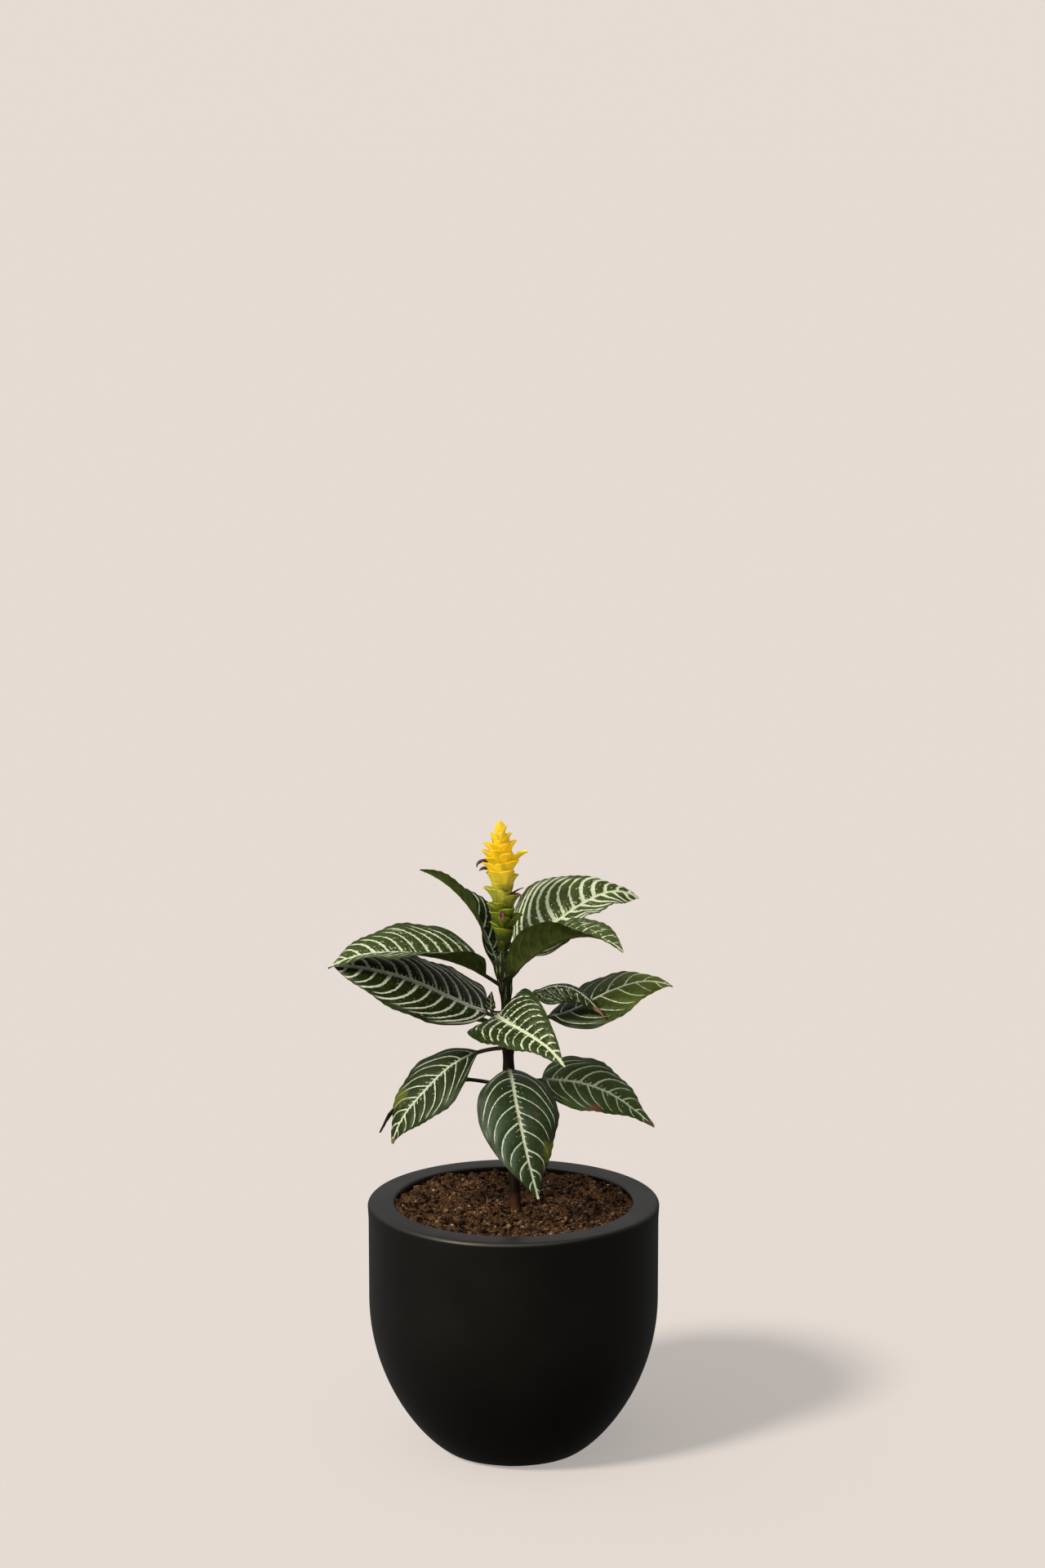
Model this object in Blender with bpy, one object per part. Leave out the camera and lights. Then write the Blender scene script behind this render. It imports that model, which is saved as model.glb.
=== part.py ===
"""Potted zebra plant: a leaning stem with twelve leaves, a small side shoot and a yellow flower spike,
standing in soil in a rounded black ceramic pot. Metres, +Z up. The origin is the middle of the pot's foot,
on the surface that the pot stands on; the front is towards -Y."""

import math

import bmesh
import bpy
import numpy as np

MM = 0.001
GAP = 0.3 * MM  # clearance between pieces that touch

# Pot
POT_HEIGHT = 175 * MM
POT_RADIUS = 99.5 * MM  # upright upper wall
RIM_RADIUS = 100 * MM
RIM_ROUND = 3 * MM
MOUTH_RADIUS = 81.5 * MM
FOOT_RADIUS = 46.8 * MM
BOWL_HEIGHT = 107 * MM  # the wall is upright above this height
BOWL_FULLNESS = 1.57  # exponent of the bowl's curve from the foot to the upright wall
FLOOR_THICKNESS = 15 * MM
LOW_WALL = 14 * MM
POT_SIDES = 52

# Soil
SOIL_TOP = 169 * MM
SOIL_LUMP = 1.6 * MM
SOIL_SIDES = 44
SOIL_RINGS = 7
HOLE_DEPTH = 40 * MM

# Stem
STEM_FOOT_X = 1.8 * MM
STEM_LEAN = 11.2 * MM  # how far the flower tip stands left of the stem's foot
STEM_TOP = 349 * MM
STEM_RADIUS = (3.5 * MM, 2.9 * MM)  # at the soil, and below the flower
STEM_SIDES = 12
NODES = ((255, 0.5), (267, 0.5), (281, 0.5), (304, 0.7), (327, 1.3))  # height and swelling of each leaf node, mm

# Leaves
PETIOLE_RADIUS = 1.3 * MM
SHOOT_STALK = 0.8 * MM
BLADE_THICKNESS = 0.8 * MM
RIB_DEPTH = 0.9 * MM  # how far the midrib stands out of the underside
COLUMNS = np.array((-1, -0.55, -0.09, 0, 0.09, 0.55, 1))
BLADE_RINGS = 15
SHOOT_RINGS = 8
LEAF_SHAPE = ((0.75, 1.15), (0.75, 1.15))  # rise and fall of the outline, left and right half
MARGIN_WAVE = 0.03  # share of the half-width
MARGIN_WAVES = 3.5

# Flower spike
SPIKE_TIP = 440 * MM
BRACT_THICKNESS = 0.8 * MM
BRACT_COLUMNS = np.array((-1, -0.5, 0, 0.5, 1))
BRACT_RINGS = 5
BRACT_CUP = (28, 15)  # degrees that its halves lean inwards, at foot and tip
BRACT_CURL = 25
BRACT_FOOT = 3 * MM  # how much thicker the fleshy foot is on its inner side

for old in list(bpy.data.objects):
    bpy.data.objects.remove(old)


def material(name, colour, roughness, metallic=0.0):
    """A Principled material with a linear colour."""
    made = bpy.data.materials.new(name)
    made.use_nodes = True
    shader = made.node_tree.nodes["Principled BSDF"]
    shader.inputs["Base Color"].default_value = (*colour, 1)
    shader.inputs["Roughness"].default_value = roughness
    shader.inputs["Metallic"].default_value = metallic
    return made


def piece(name, points, faces, finish, place=(0, 0, 0)):
    """A smooth-shaded object from points that are measured from its own place."""
    mesh = bpy.data.meshes.new(name)
    mesh.from_pydata([tuple(p) for p in points], [], [tuple(map(int, f)) for f in faces])
    mesh.materials.append(finish)
    mesh.shade_smooth()
    mesh.set_sharp_from_angle(angle=math.radians(40))
    made = bpy.data.objects.new(name, mesh)
    made.location = place
    bpy.context.scene.collection.objects.link(made)
    return made


def turned(profile, sides):
    """Points and faces of a profile of (radius, height) turned round Z. A radius of 0 makes a pole."""
    angles = np.arange(sides) * 2 * math.pi / sides
    points, rows = [], []
    for radius, height in profile:
        if radius == 0:
            rows.append([len(points)] * sides)
            points.append((0, 0, height))
            continue
        rows.append(list(range(len(points), len(points) + sides)))
        points.extend((radius * math.cos(a), radius * math.sin(a), height) for a in angles)
    faces = []
    for low, high in zip(rows, rows[1:]):
        for k in range(sides):
            n = (k + 1) % sides
            corners = (low[k], low[n], high[n], high[k])
            faces.append(tuple(dict.fromkeys(corners)))
    return points, faces


def smooth(value, low, high):
    """0 below low, 1 above high, and an S-curve between them."""
    t = np.clip((value - low) / (high - low), 0, 1)
    return t * t * (3 - 2 * t)


def bowl_radius(height, foot, top_radius, bowl_height):
    """Radius of the bowl at a height: from the foot it swells to the upright wall."""
    angle = math.acos(1 - min(height / bowl_height, 1))
    return foot + (top_radius - foot) * math.sin(angle) ** BOWL_FULLNESS


def pot_outside():
    """Profile of the pot's outside, from the middle of the foot up to the rounded edge of the rim."""
    heights = [BOWL_HEIGHT * (1 - math.cos(math.radians(a))) for a in range(10, 91, 8)]
    profile = [(0, 0), (FOOT_RADIUS, 0)]
    profile += [(bowl_radius(h, FOOT_RADIUS, POT_RADIUS, BOWL_HEIGHT), h) for h in heights]
    profile += [(POT_RADIUS, POT_HEIGHT - 20 * MM)]
    for angle in range(0, 91, 30):
        turn = math.radians(angle)
        across = RIM_RADIUS - RIM_ROUND * (1 - math.cos(turn))
        profile.append((across, POT_HEIGHT - RIM_ROUND * (1 - math.sin(turn))))
    return profile


def cavity(shrink=0.0):
    """Profile of the pot's inside, from the top of the inner wall down to the middle of its floor."""
    inner_height = BOWL_HEIGHT - FLOOR_THICKNESS
    foot = FOOT_RADIUS - LOW_WALL
    profile = []
    for angle in range(90, 0, -15):
        height = inner_height * (1 - math.cos(math.radians(angle)))
        radius = bowl_radius(height, foot, MOUTH_RADIUS, inner_height)
        profile.append((radius - shrink, height + FLOOR_THICKNESS + shrink))
    return profile + [(foot - shrink, FLOOR_THICKNESS + shrink), (0, FLOOR_THICKNESS + shrink)]


def pot():
    inner_edge = 1.2 * MM
    profile = pot_outside()
    profile += [(MOUTH_RADIUS + inner_edge, POT_HEIGHT), (MOUTH_RADIUS, POT_HEIGHT - inner_edge)]
    profile += cavity()
    points, faces = turned(profile, POT_SIDES)
    return piece("pot", points, faces, material("black ceramic", (0.012, 0.011, 0.010), 0.5))


def stem_x(height):
    """The stem leans to the left as it rises, most of all low down."""
    share = np.clip((height - SOIL_TOP) / (SPIKE_TIP - SOIL_TOP), 0, 1)
    return STEM_FOOT_X - STEM_LEAN * share**0.8


def stem_radius(height):
    """Radius of the stem: it tapers upwards and swells a little at each leaf node."""
    share = np.clip((height - SOIL_TOP) / (STEM_TOP - SOIL_TOP), 0, 1)
    swell = sum(size * np.exp(-(((height / MM - node) / 5) ** 2)) for node, size in NODES)
    return STEM_RADIUS[0] + (STEM_RADIUS[1] - STEM_RADIUS[0]) * share + swell * MM


def soil():
    """Lumpy top inside the pot, with a plain round hole that the stem stands in."""
    rng = np.random.default_rng(7)
    hole = STEM_RADIUS[0] + GAP
    wall = MOUTH_RADIUS - GAP
    floor = SOIL_TOP - HOLE_DEPTH
    profile = [(0, floor), (hole, floor)]
    profile += [(hole + (wall - hole) * (k / SOIL_RINGS) ** 0.8, SOIL_TOP) for k in range(SOIL_RINGS + 1)]
    profile += cavity(GAP)
    points, faces = turned(profile, SOIL_SIDES)
    points = np.array(points)
    top = (points[:, 2] == SOIL_TOP)
    radius = np.hypot(points[:, 0], points[:, 1])
    lump = rng.uniform(-1, 0.6, len(points)) * SOIL_LUMP * smooth(radius, hole, hole + 12 * MM)
    points[top, 2] += lump[top]
    near = 1 - smooth(radius, hole, 30 * MM)
    points[:, 0] += STEM_FOOT_X * near * (points[:, 2] > floor - GAP)
    faces = [f[::-1] for f in faces]
    return piece("soil", points, faces, material("peat", (0.045, 0.020, 0.010), 0.95))


def stem():
    """A leaning round stem of rings, flat at both ends."""
    bottom = SOIL_TOP - HOLE_DEPTH + GAP
    heights = np.concatenate([[bottom, SOIL_TOP], np.linspace(SOIL_TOP + 8 * MM, STEM_TOP, 30)])
    angles = np.arange(STEM_SIDES) * 2 * math.pi / STEM_SIDES
    points = [
        (stem_x(h) + stem_radius(h) * math.cos(a), stem_radius(h) * math.sin(a), h)
        for h in heights
        for a in angles
    ]
    faces = [tuple(range(STEM_SIDES))[::-1], tuple(range(len(points) - STEM_SIDES, len(points)))]
    for row in range(len(heights) - 1):
        for k in range(STEM_SIDES):
            low, low_next = row * STEM_SIDES + k, row * STEM_SIDES + (k + 1) % STEM_SIDES
            faces.append((low, low_next, low_next + STEM_SIDES, low + STEM_SIDES))
    return piece("stem", points, faces, material("stem", (0.035, 0.014, 0.010), 0.6))


def rib_line(distances, stations, pitch, heading):
    """Points of a midrib and its three directions: along it, to its left, and up out of its upper face.
    Pitch and heading are degrees at the stations; the line is the sum of its small steps."""
    fine = np.linspace(0, stations[-1], 300)
    p, h = (np.radians(np.interp(fine, stations, angle)) for angle in (pitch, heading))
    along = np.stack([np.cos(p) * np.cos(h), np.cos(p) * np.sin(h), np.sin(p)], 1)
    steps = (along[1:] + along[:-1]) / 2 * (fine[1] - fine[0])
    line = np.concatenate([np.zeros((1, 3)), np.cumsum(steps, 0)])
    at = [np.stack([np.interp(distances, fine, a[:, k]) for k in range(3)], 1) for a in (line, along)]
    points, along = at[0], at[1] / np.linalg.norm(at[1], axis=1)[:, None]
    turn = np.radians(np.interp(distances, stations, heading))
    left = np.stack([-np.sin(turn), np.cos(turn), 0 * turn], 1)
    return points, along, left, np.cross(along, left)


def outline(s, rise, fall):
    """Share of the half-width at the share s of the blade's length: s^rise (1-s)^fall, 1 at its widest."""
    widest = rise / (rise + fall)
    return s**rise * (1 - s) ** fall / (widest**rise * (1 - widest) ** fall)


def sheet_rings(frame, columns, width, fold, curl, lift, above, below):
    """Closed rings round a blade. Each half is an arc that leaves the midrib at the fold angle and bends by
    curl by the margin; lift moves points up, and above and below are the half thicknesses."""
    points, _, left, up = frame
    across = np.abs(columns)[None, :]
    side = np.sign(columns)[None, :]
    bend = np.where(np.abs(curl) < 0.01, 0.01, curl)
    angle = fold + bend * across
    out = width * (np.sin(angle) - np.sin(fold)) / bend * side
    rise = width * (np.cos(fold) - np.cos(angle)) / bend + lift
    middle = points[:, None] + out[..., None] * left[:, None] + rise[..., None] * up[:, None]
    normal = -(np.sin(angle) * side)[..., None] * left[:, None] + np.cos(angle)[..., None] * up[:, None]
    stretch = np.where(across == 0, 1 / np.cos(fold), 1)[..., None]
    upper = middle + normal * stretch * above[..., None]
    lower = middle - normal * stretch * below[..., None]
    return np.concatenate([upper, lower[:, ::-1]], 1)


def loft(rings):
    """Points and triangles that join closed rings, split alike on the upper and the lower face."""
    count, size, _ = rings.shape
    half = size // 2
    faces = []
    for i in range(count - 1):
        for k in range(size):
            a, b = i * size + k, i * size + (k + 1) % size
            c, d = b + size, a + size
            faces += [(a, d, c), (a, c, b)] if k < half else [(a, d, b), (d, c, b)]
    last = (count - 1) * size
    for k in range(half - 1):
        top, top_next, low, low_next = k, k + 1, size - 1 - k, size - 2 - k
        faces += [(top, top_next, low_next), (top, low_next, low)]
        faces += [(last + top, last + low_next, last + top_next), (last + top, last + low, last + low_next)]
    return rings.reshape(-1, 3), faces


def leaf(name, height, heading, pitch, petiole, blade, half, roll, fold, curl, shape=None, stalk=None):
    """A leaf on its stalk, from the stem outwards. Heading and pitch are degrees at the stem, at the foot of
    the blade, a third and two thirds along it, and at its tip. Roll lifts the left half, and roll and fold
    are degrees at the blade's foot, middle and tip. Half-widths and outlines are (left, right)."""
    petiole, blade = petiole * MM, blade * MM
    shape, stalk = shape or LEAF_SHAPE, stalk or PETIOLE_RADIUS
    stations = np.array((0, petiole, petiole + blade / 3, petiole + blade * 2 / 3, petiole + blade))
    reach = stem_radius(height) + GAP + stalk * math.sin(math.radians(abs(pitch[0])))
    start = reach / math.cos(math.radians(pitch[0]))
    rings = SHOOT_RINGS if stalk == SHOOT_STALK else BLADE_RINGS
    share = np.concatenate([[0, 0.02], np.linspace(0, 1, rings)[1:]])
    distances = np.concatenate([np.linspace(start, petiole, 4)[:-1], petiole + blade * share])
    points, along, left, up = rib_line(distances, stations, pitch, heading)
    s = np.clip((distances - petiole) / blade, 0, 1)
    turn = np.radians(np.interp(s, (0, 0.5, 1), roll))[:, None]
    left, up = left * np.cos(turn) + up * np.sin(turn), up * np.cos(turn) - left * np.sin(turn)
    widths = [half[k] * MM * outline(s, *shape[k]) for k in (0, 1)]
    width = np.where(COLUMNS[None, :] > 0, widths[0][:, None], widths[1][:, None])
    thick = stalk * (1 - 0.55 * s)[:, None]
    width = np.hypot(width, thick)
    flat = smooth(s, 0, 0.1)[:, None]
    oval = thick * np.sqrt(1 - 0.93 * COLUMNS[None, :] ** 2)
    above = oval * (1 - flat) + BLADE_THICKNESS / 2 * flat
    rib = RIB_DEPTH * (1 - 0.7 * s)[:, None] * (COLUMNS[None, :] == 0)
    wave = np.sin(2 * math.pi * MARGIN_WAVES * s[:, None] + np.sign(COLUMNS) * 0.8 + height / MM)
    lift = MARGIN_WAVE * half[0] * MM * wave * COLUMNS[None, :] ** 2 * smooth(s, 0.05, 0.3)[:, None]
    bent = np.radians(np.interp(s, (0, 0.5, 1), fold))[:, None] * flat
    arc = np.radians(curl) * flat + 0 * width
    frame = (points, along, left, up)
    rings = sheet_rings(frame, COLUMNS, width, bent, arc, lift, above, above + rib * flat)
    mesh_points, faces = loft(rings)
    green = bpy.data.materials.get("zebra leaf") or material("zebra leaf", (0.020, 0.060, 0.012), 0.4)
    return piece(name, mesh_points, faces, green, (stem_x(height), 0, height))


def upper_leaves():
    leaf("leaf_top_right", 332 * MM, (20, 20, 20, 18, 15), (52, 46, 33, 23, -34), 21, 95, (37, 24),
         roll=(26, 22, 36), fold=(-8, 29, 8), curl=-12, shape=((0.62, 1.6), (0.55, 0.8)))
    leaf("leaf_upper_right", 329 * MM, (-40, -41, -42, -42, -40), (44, 41, 33, 12, -28), 9, 109, (20, 20),
         roll=(-10, -8, 5), fold=(60, 52, 10), curl=-12, shape=((0.9, 0.95), (0.65, 1.15)))
    leaf("leaf_top_left", 328 * MM, (145, 150, 160, 165, 170), (50, 71, 60, 42, 18), 13, 87, (12.5, 18),
         roll=(-22, 8, 50), fold=(0, 45, 30), curl=-15, shape=((0.8, 0.95), (0.7, 1.6)))
    leaf("leaf_upper_left", 323.5 * MM, (190, 190, 190, 188, 185), (38, 33, 13, -1, -28), 17, 112, (34, 33),
         roll=(4, -9, -10), fold=(40, 23, 14), curl=-10, shape=((0.6, 1.15), (0.7, 1.05)))


def middle_leaves():
    leaf("leaf_middle_left", 304.5 * MM, (195, 193, 188, 182, 178), (0, 24, 28, 15, 2), 14, 112, (32, 36),
         roll=(-28, -28, -25), fold=(2, 2, 2), curl=-15, shape=((0.8, 0.95), (0.22, 0.85)))
    leaf("leaf_front", 306.5 * MM, (-150, -82, -52, -50, -50), (10, 5, -8, -14, -36), 16, 86, (27, 26),
         roll=(34, 34, 30), fold=(22, 22, 22), curl=-15, shape=((0.35, 1.3), (0.3, 1.1)))
    leaf("leaf_curled", 307 * MM, (5, -5, -15, -20, -20), (33, 38, 3, -38, -50), 22, 59, (12, 13),
         roll=(25, 25, 20), fold=(-25, -25, -25), curl=-20, shape=((0.75, 1.3), (0.5, 1.4)))
    leaf("leaf_middle_right", 301 * MM, (8, 8, 6, 4, 4), (-3, 11, 29, 16, -25), 29, 90, (22, 25),
         roll=(26, 26, 22), fold=(-4, -4, -4), curl=-10, shape=((0.85, 1.15), (0.85, 1.15)))


def lower_leaves():
    leaf("leaf_lower_left", 282.5 * MM, (190, 195, 200, 200, 200), (2, -13, -40, -47, -76), 21, 88, (25, 23),
         roll=(-22, -24, -20), fold=(2, 2, 2), curl=-10, shape=((1.0, 1.2), (0.85, 1.15)))
    leaf("leaf_behind_left", 254.5 * MM, (170, 168, 165, 162, 160), (15, 2, -24, -44, -64), 28, 82, (18, 18),
         roll=(0, 0, 0), fold=(10, 10, 10), curl=-20)
    leaf("leaf_hanging", 267 * MM, (-88, -86, -80, -66, -48), (20, 5, -40, -60, -65), 8, 108, (30, 27.5),
         roll=(0, 0, 0), fold=(8, 8, 8), curl=-35, shape=((0.75, 1.1), (0.9, 1.15)))
    leaf("leaf_lower_right", 255.5 * MM, (-10, -8, -5, -5, -5), (20, 6, -13, -34, -44), 23, 86, (28, 23),
         roll=(30, 30, 25), fold=(0, 0, 0), curl=-10, shape=((0.5, 1.15), (0.65, 1.4)))


def side_shoot():
    """A small young leaf in the angle of the middle left leaf's stalk."""
    leaf("leaf_shoot", 308.5 * MM, (190, 180, 80, 70, 70), (-20, 12, 76, 78, 80), 8.6, 15, (4, 4),
         roll=(0, 0, 0), fold=(10, 20, 20), curl=15, stalk=SHOOT_STALK)


def ring_of(x, radius, height, sides=10):
    """Corners of a flat round ring."""
    angles = np.arange(sides) * 2 * math.pi / sides
    return [(x + radius * math.cos(a), radius * math.sin(a), height) for a in angles]


def tube(name, rows, finish, sides=10):
    """A closed round body through rows of (x, radius, height)."""
    points = [p for row in rows for p in ring_of(*row, sides)]
    faces = [tuple(range(sides))[::-1], tuple(range(len(points) - sides, len(points)))]
    for row in range(len(rows) - 1):
        for k in range(sides):
            low, low_next = row * sides + k, row * sides + (k + 1) % sides
            faces.append((low, low_next, low_next + sides, low + sides))
    return piece(name, points, faces, finish)


def bract(name, height, heading, length, half, lean, root, finish):
    """A pointed, cupped bract whose foot sits inside the spike's core. Lean is its pitch at foot and tip."""
    length, half, root = length * MM, half * MM, root * MM
    stations = np.array((0, length / 3, length * 2 / 3, length))
    pitch = (lean[0], lean[0] * 0.8 + lean[1] * 0.2, lean[0] * 0.45 + lean[1] * 0.55, lean[1])
    s = np.linspace(0, 1, BRACT_RINGS)
    frame = rib_line(s * length, stations, pitch, (heading,) * 4)
    width = np.hypot(half * outline(np.clip(s + 0.12, 0, 1), 0.9, 0.8), 0.5 * MM)[:, None]
    cup = np.radians(np.interp(s, (0, 1), BRACT_CUP))[:, None]
    outer = BRACT_THICKNESS / 2 + 0 * (width + cup)
    inner = outer + BRACT_FOOT * (1 - smooth(s, 0, 0.7))[:, None]
    curl = np.radians(BRACT_CURL) + 0 * width
    rings = sheet_rings(frame, BRACT_COLUMNS, width, cup, curl, 0 * width, inner, outer)
    points, faces = loft(rings)
    way = math.radians(heading)
    place = (stem_x(height) + root * math.cos(way), root * math.sin(way), height)
    made = piece(name, points, faces, finish, place)
    made.hide_render = True
    made.display_type = "WIRE"
    return made


def spike(name, finish, core, bracts):
    """A core with bracts fused to it. Each bract is (height, heading, length, half-width, lean, root)."""
    body = tube(name, core, finish)
    for number, row in enumerate(bracts):
        height, *rest = row
        made = bract(f"{name}_bract_{number}", height * MM, *rest, finish)
        join = body.modifiers.new(made.name, "BOOLEAN")
        join.operation = "UNION"
        join.solver = "MANIFOLD"
        join.object = made
    return body


def green_spike():
    """Lower half of the flower: bracts green, each pair square to the pair below it."""
    heights = (349.4, 354, 360, 368, 378, 388, 391)
    radii = (2.2, 4.2, 6.2, 7.8, 9.0, 9.0, 6.5)
    core = [(stem_x(h * MM), r * MM, h * MM) for h, r in zip(heights, radii)]
    bracts = [
        (352, -80, 14, 7, (86, 70), 2.4), (352, 100, 14, 7, (86, 70), 2.4),
        (356, 5, 14, 7, (80, 60), 3), (356, 185, 14, 7, (82, 62), 3),
        (361, -82, 16, 9.5, (84, 68), 4.4), (361, 95, 16, 9.5, (84, 68), 4.4),
        (364, 8, 16, 8, (72, 34), 5.2), (365, 186, 15, 8, (80, 60), 5.2),
        (370, -90, 17, 11, (84, 66), 6), (369, 90, 17, 11, (84, 62), 6),
        (376, 4, 15, 8.5, (76, 42), 6.2), (379, 183, 14, 8, (78, 42), 6.2),
    ]
    spike("spike_green", material("green bracts", (0.16, 0.26, 0.02), 0.5), core, bracts)


def yellow_spike():
    """Upper half of the flower: yellow bracts, the widest of them bent outwards."""
    heights = (391.3, 394, 400, 410, 420, 430, 435)
    radii = (6.2, 8.4, 9.2, 8.4, 6.8, 4.4, 1.2)
    core = [(stem_x(h * MM), r * MM, h * MM) for h, r in zip(heights, radii)]
    bracts = [
        (393, -86, 18, 11, (86, 72), 6.4), (393, 94, 18, 11, (86, 66), 6.4),
        (393, 6, 16, 8, (74, 36), 6.2), (394, 184, 13, 8, (76, 48), 6.2),
        (400, -78, 18, 10.5, (85, 72), 6.6), (400, 98, 17, 10.5, (85, 64), 6.6),
        (405, -16, 19, 7, (60, 14), 6.2), (404, 32, 18, 7, (74, 36), 6.4),
        (403, 190, 18, 7.5, (74, 36), 6.2), (409, 168, 16, 7, (76, 40), 5.8),
        (408, -108, 16, 8.5, (84, 72), 6.2), (410, 85, 15, 8, (84, 62), 6),
        (412, 4, 16, 7, (76, 40), 5.8), (414, -85, 15, 7.5, (85, 70), 5.6),
        (418, 176, 14, 6, (76, 48), 5.2), (418, 10, 14, 6, (76, 46), 5.2),
        (419, 92, 13, 6, (84, 64), 4.8), (421, -70, 13, 5.5, (86, 72), 4.4),
        (425, 184, 12, 4.4, (82, 58), 3), (425, 0, 12, 4.4, (82, 56), 3),
        (427.5, -100, 12.6, 4.0, (90, 86), 1.6),
    ]
    spike("spike_yellow", material("yellow bracts", (0.85, 0.50, 0.01), 0.5), core, bracts)


upper_leaves()
middle_leaves()
lower_leaves()
side_shoot()
pot()
soil()
stem()
green_spike()
yellow_spike()
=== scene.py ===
"""Looks, light and camera of a potted zebra plant: a leaning stem with twelve banded leaves and a yellow
flower spike, in a rounded black ceramic pot. Metres, +Z up; the front is towards -Y."""

import math

import bmesh
import bpy
import numpy as np
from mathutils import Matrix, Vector


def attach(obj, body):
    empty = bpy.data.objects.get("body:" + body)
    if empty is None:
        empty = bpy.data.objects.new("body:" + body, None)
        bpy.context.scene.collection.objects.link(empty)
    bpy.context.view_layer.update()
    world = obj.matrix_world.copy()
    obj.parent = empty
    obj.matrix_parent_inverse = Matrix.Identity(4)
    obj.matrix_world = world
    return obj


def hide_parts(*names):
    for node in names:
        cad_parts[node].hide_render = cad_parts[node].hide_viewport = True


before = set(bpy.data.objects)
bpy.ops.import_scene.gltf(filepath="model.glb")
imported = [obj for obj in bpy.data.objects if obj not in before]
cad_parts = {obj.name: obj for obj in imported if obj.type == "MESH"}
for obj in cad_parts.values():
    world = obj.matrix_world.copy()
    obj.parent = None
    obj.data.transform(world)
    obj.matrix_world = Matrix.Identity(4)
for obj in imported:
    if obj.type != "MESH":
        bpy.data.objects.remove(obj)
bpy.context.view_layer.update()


# The studio: the pot stands on a pale seamless sweep, plain paper that shows no edge between floor and
# background. The floor is a wide flat sheet, and the sky has the paper's own colour where the camera sees it.

PAPER = (0.783, 0.708, 0.645)
FLOOR_PAINT = (0.1358, 0.1236, 0.1148)
FLOOR_HALF = 60.0


def paint(name, colour, roughness):
    """A Principled material with one colour; returns the material, its node tree and its shader."""
    made = bpy.data.materials.new(name)
    made.use_nodes = True
    shader = made.node_tree.nodes["Principled BSDF"]
    shader.inputs["Base Color"].default_value = (*colour, 1)
    shader.inputs["Roughness"].default_value = roughness
    return made, made.node_tree, shader


def mesh_piece(name, points, faces, finishes, slots=None, values=None):
    """A smooth-shaded object at the origin. Points that coincide are joined, so a row that shrinks to one
    point closes as a pole. slots gives each face's material, and values are named vectors per point."""
    mesh = bpy.data.meshes.new(name)
    mesh.from_pydata(points.tolist(), [], faces.tolist())
    for finish in finishes:
        mesh.materials.append(finish)
    if slots is not None:
        mesh.polygons.foreach_set("material_index", slots.astype(np.int32))
    for title, vectors in (values or {}).items():
        layer = mesh.attributes.new(title, "FLOAT_VECTOR", "POINT")
        layer.data.foreach_set("vector", vectors.astype(np.float32).ravel())
    shape = bmesh.new()
    shape.from_mesh(mesh)
    bmesh.ops.remove_doubles(shape, verts=shape.verts, dist=1e-7)
    shape.to_mesh(mesh)
    shape.free()
    mesh.shade_smooth()
    made = bpy.data.objects.new(name, mesh)
    bpy.context.scene.collection.objects.link(made)
    return made


def grid_faces(rows, columns, wrapped):
    """Corner numbers of the quads of a grid of points; wrapped joins the last column to the first."""
    row, column = np.mgrid[0 : rows - 1, 0 : columns if wrapped else columns - 1]
    following = (column + 1) % columns
    corners = (row * columns + column, row * columns + following)
    corners += ((row + 1) * columns + following, (row + 1) * columns + column)
    return np.stack(corners, -1).reshape(-1, 4)


floor_paint, _, shader = paint("seamless paper", FLOOR_PAINT, 1.0)
shader.inputs["Specular IOR Level"].default_value = 0
floor_points = np.array([(-1, -1, 0), (1, -1, 0), (1, 1, 0), (-1, 1, 0)]) * FLOOR_HALF
paper = mesh_piece("paper_sweep", floor_points, np.array([[0, 1, 2, 3]]), [floor_paint])
paper.visible_glossy = False

# Soft studio light: a large lamp at the left front, a soft box overhead, pale walls behind and a dark room in
# front, so that the black pot stays dark in its middle. Only the pot throws a shadow on the paper, and a
# faint one, so the paper has a key lamp and a fill of its own.

KEY_FROM = (-162, -140, 175)
KEY_ANGLE = 11
PLANT_KEY = 2.15
FLOOR_KEY = 10.4
FLOOR_FILL = 9.4
KEY_COLOUR = (1.0, 0.94, 0.87)
SKY_COLOUR = (0.97, 0.985, 1.0)
ROOM_LEFT = 0.145
ROOM_RIGHT = 0.085
ROOM_BACK = 0.25
SOFT_BOX = 1.5
SOFT_BOX_FROM = Vector((-0.30, -0.25, 0.92)).normalized()

world = bpy.data.worlds.new("studio room")
world.use_nodes = True
bpy.context.scene.world = world
tree = world.node_tree
room = tree.nodes["Background"]
seen = tree.nodes.new("ShaderNodeBackground")
seen.inputs["Color"].default_value = (*PAPER, 1)
direction = tree.nodes.new("ShaderNodeTexCoord").outputs["Generated"]
parts = tree.nodes.new("ShaderNodeSeparateXYZ")
tree.links.new(direction, parts.inputs[0])
towards_box = tree.nodes.new("ShaderNodeVectorMath")
towards_box.operation = "DOT_PRODUCT"
towards_box.inputs[1].default_value = SOFT_BOX_FROM
tree.links.new(direction, towards_box.inputs[0])


def sky_ramp(value, *limits):
    """An S-curve of value, from the third limit at the first to the fourth at the second."""
    made = tree.nodes.new("ShaderNodeMapRange")
    made.interpolation_type = "SMOOTHSTEP"
    tree.links.new(value, made.inputs["Value"])
    for title, limit in zip(("From Min", "From Max", "To Min", "To Max"), limits):
        made.inputs[title].default_value = limit
    return made.outputs[0]


def sky_maths(operation, first, second):
    """The output of a Math node with two linked inputs."""
    made = tree.nodes.new("ShaderNodeMath")
    made.operation = operation
    tree.links.new(first, made.inputs[0])
    tree.links.new(second, made.inputs[1])
    return made.outputs[0]


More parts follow.
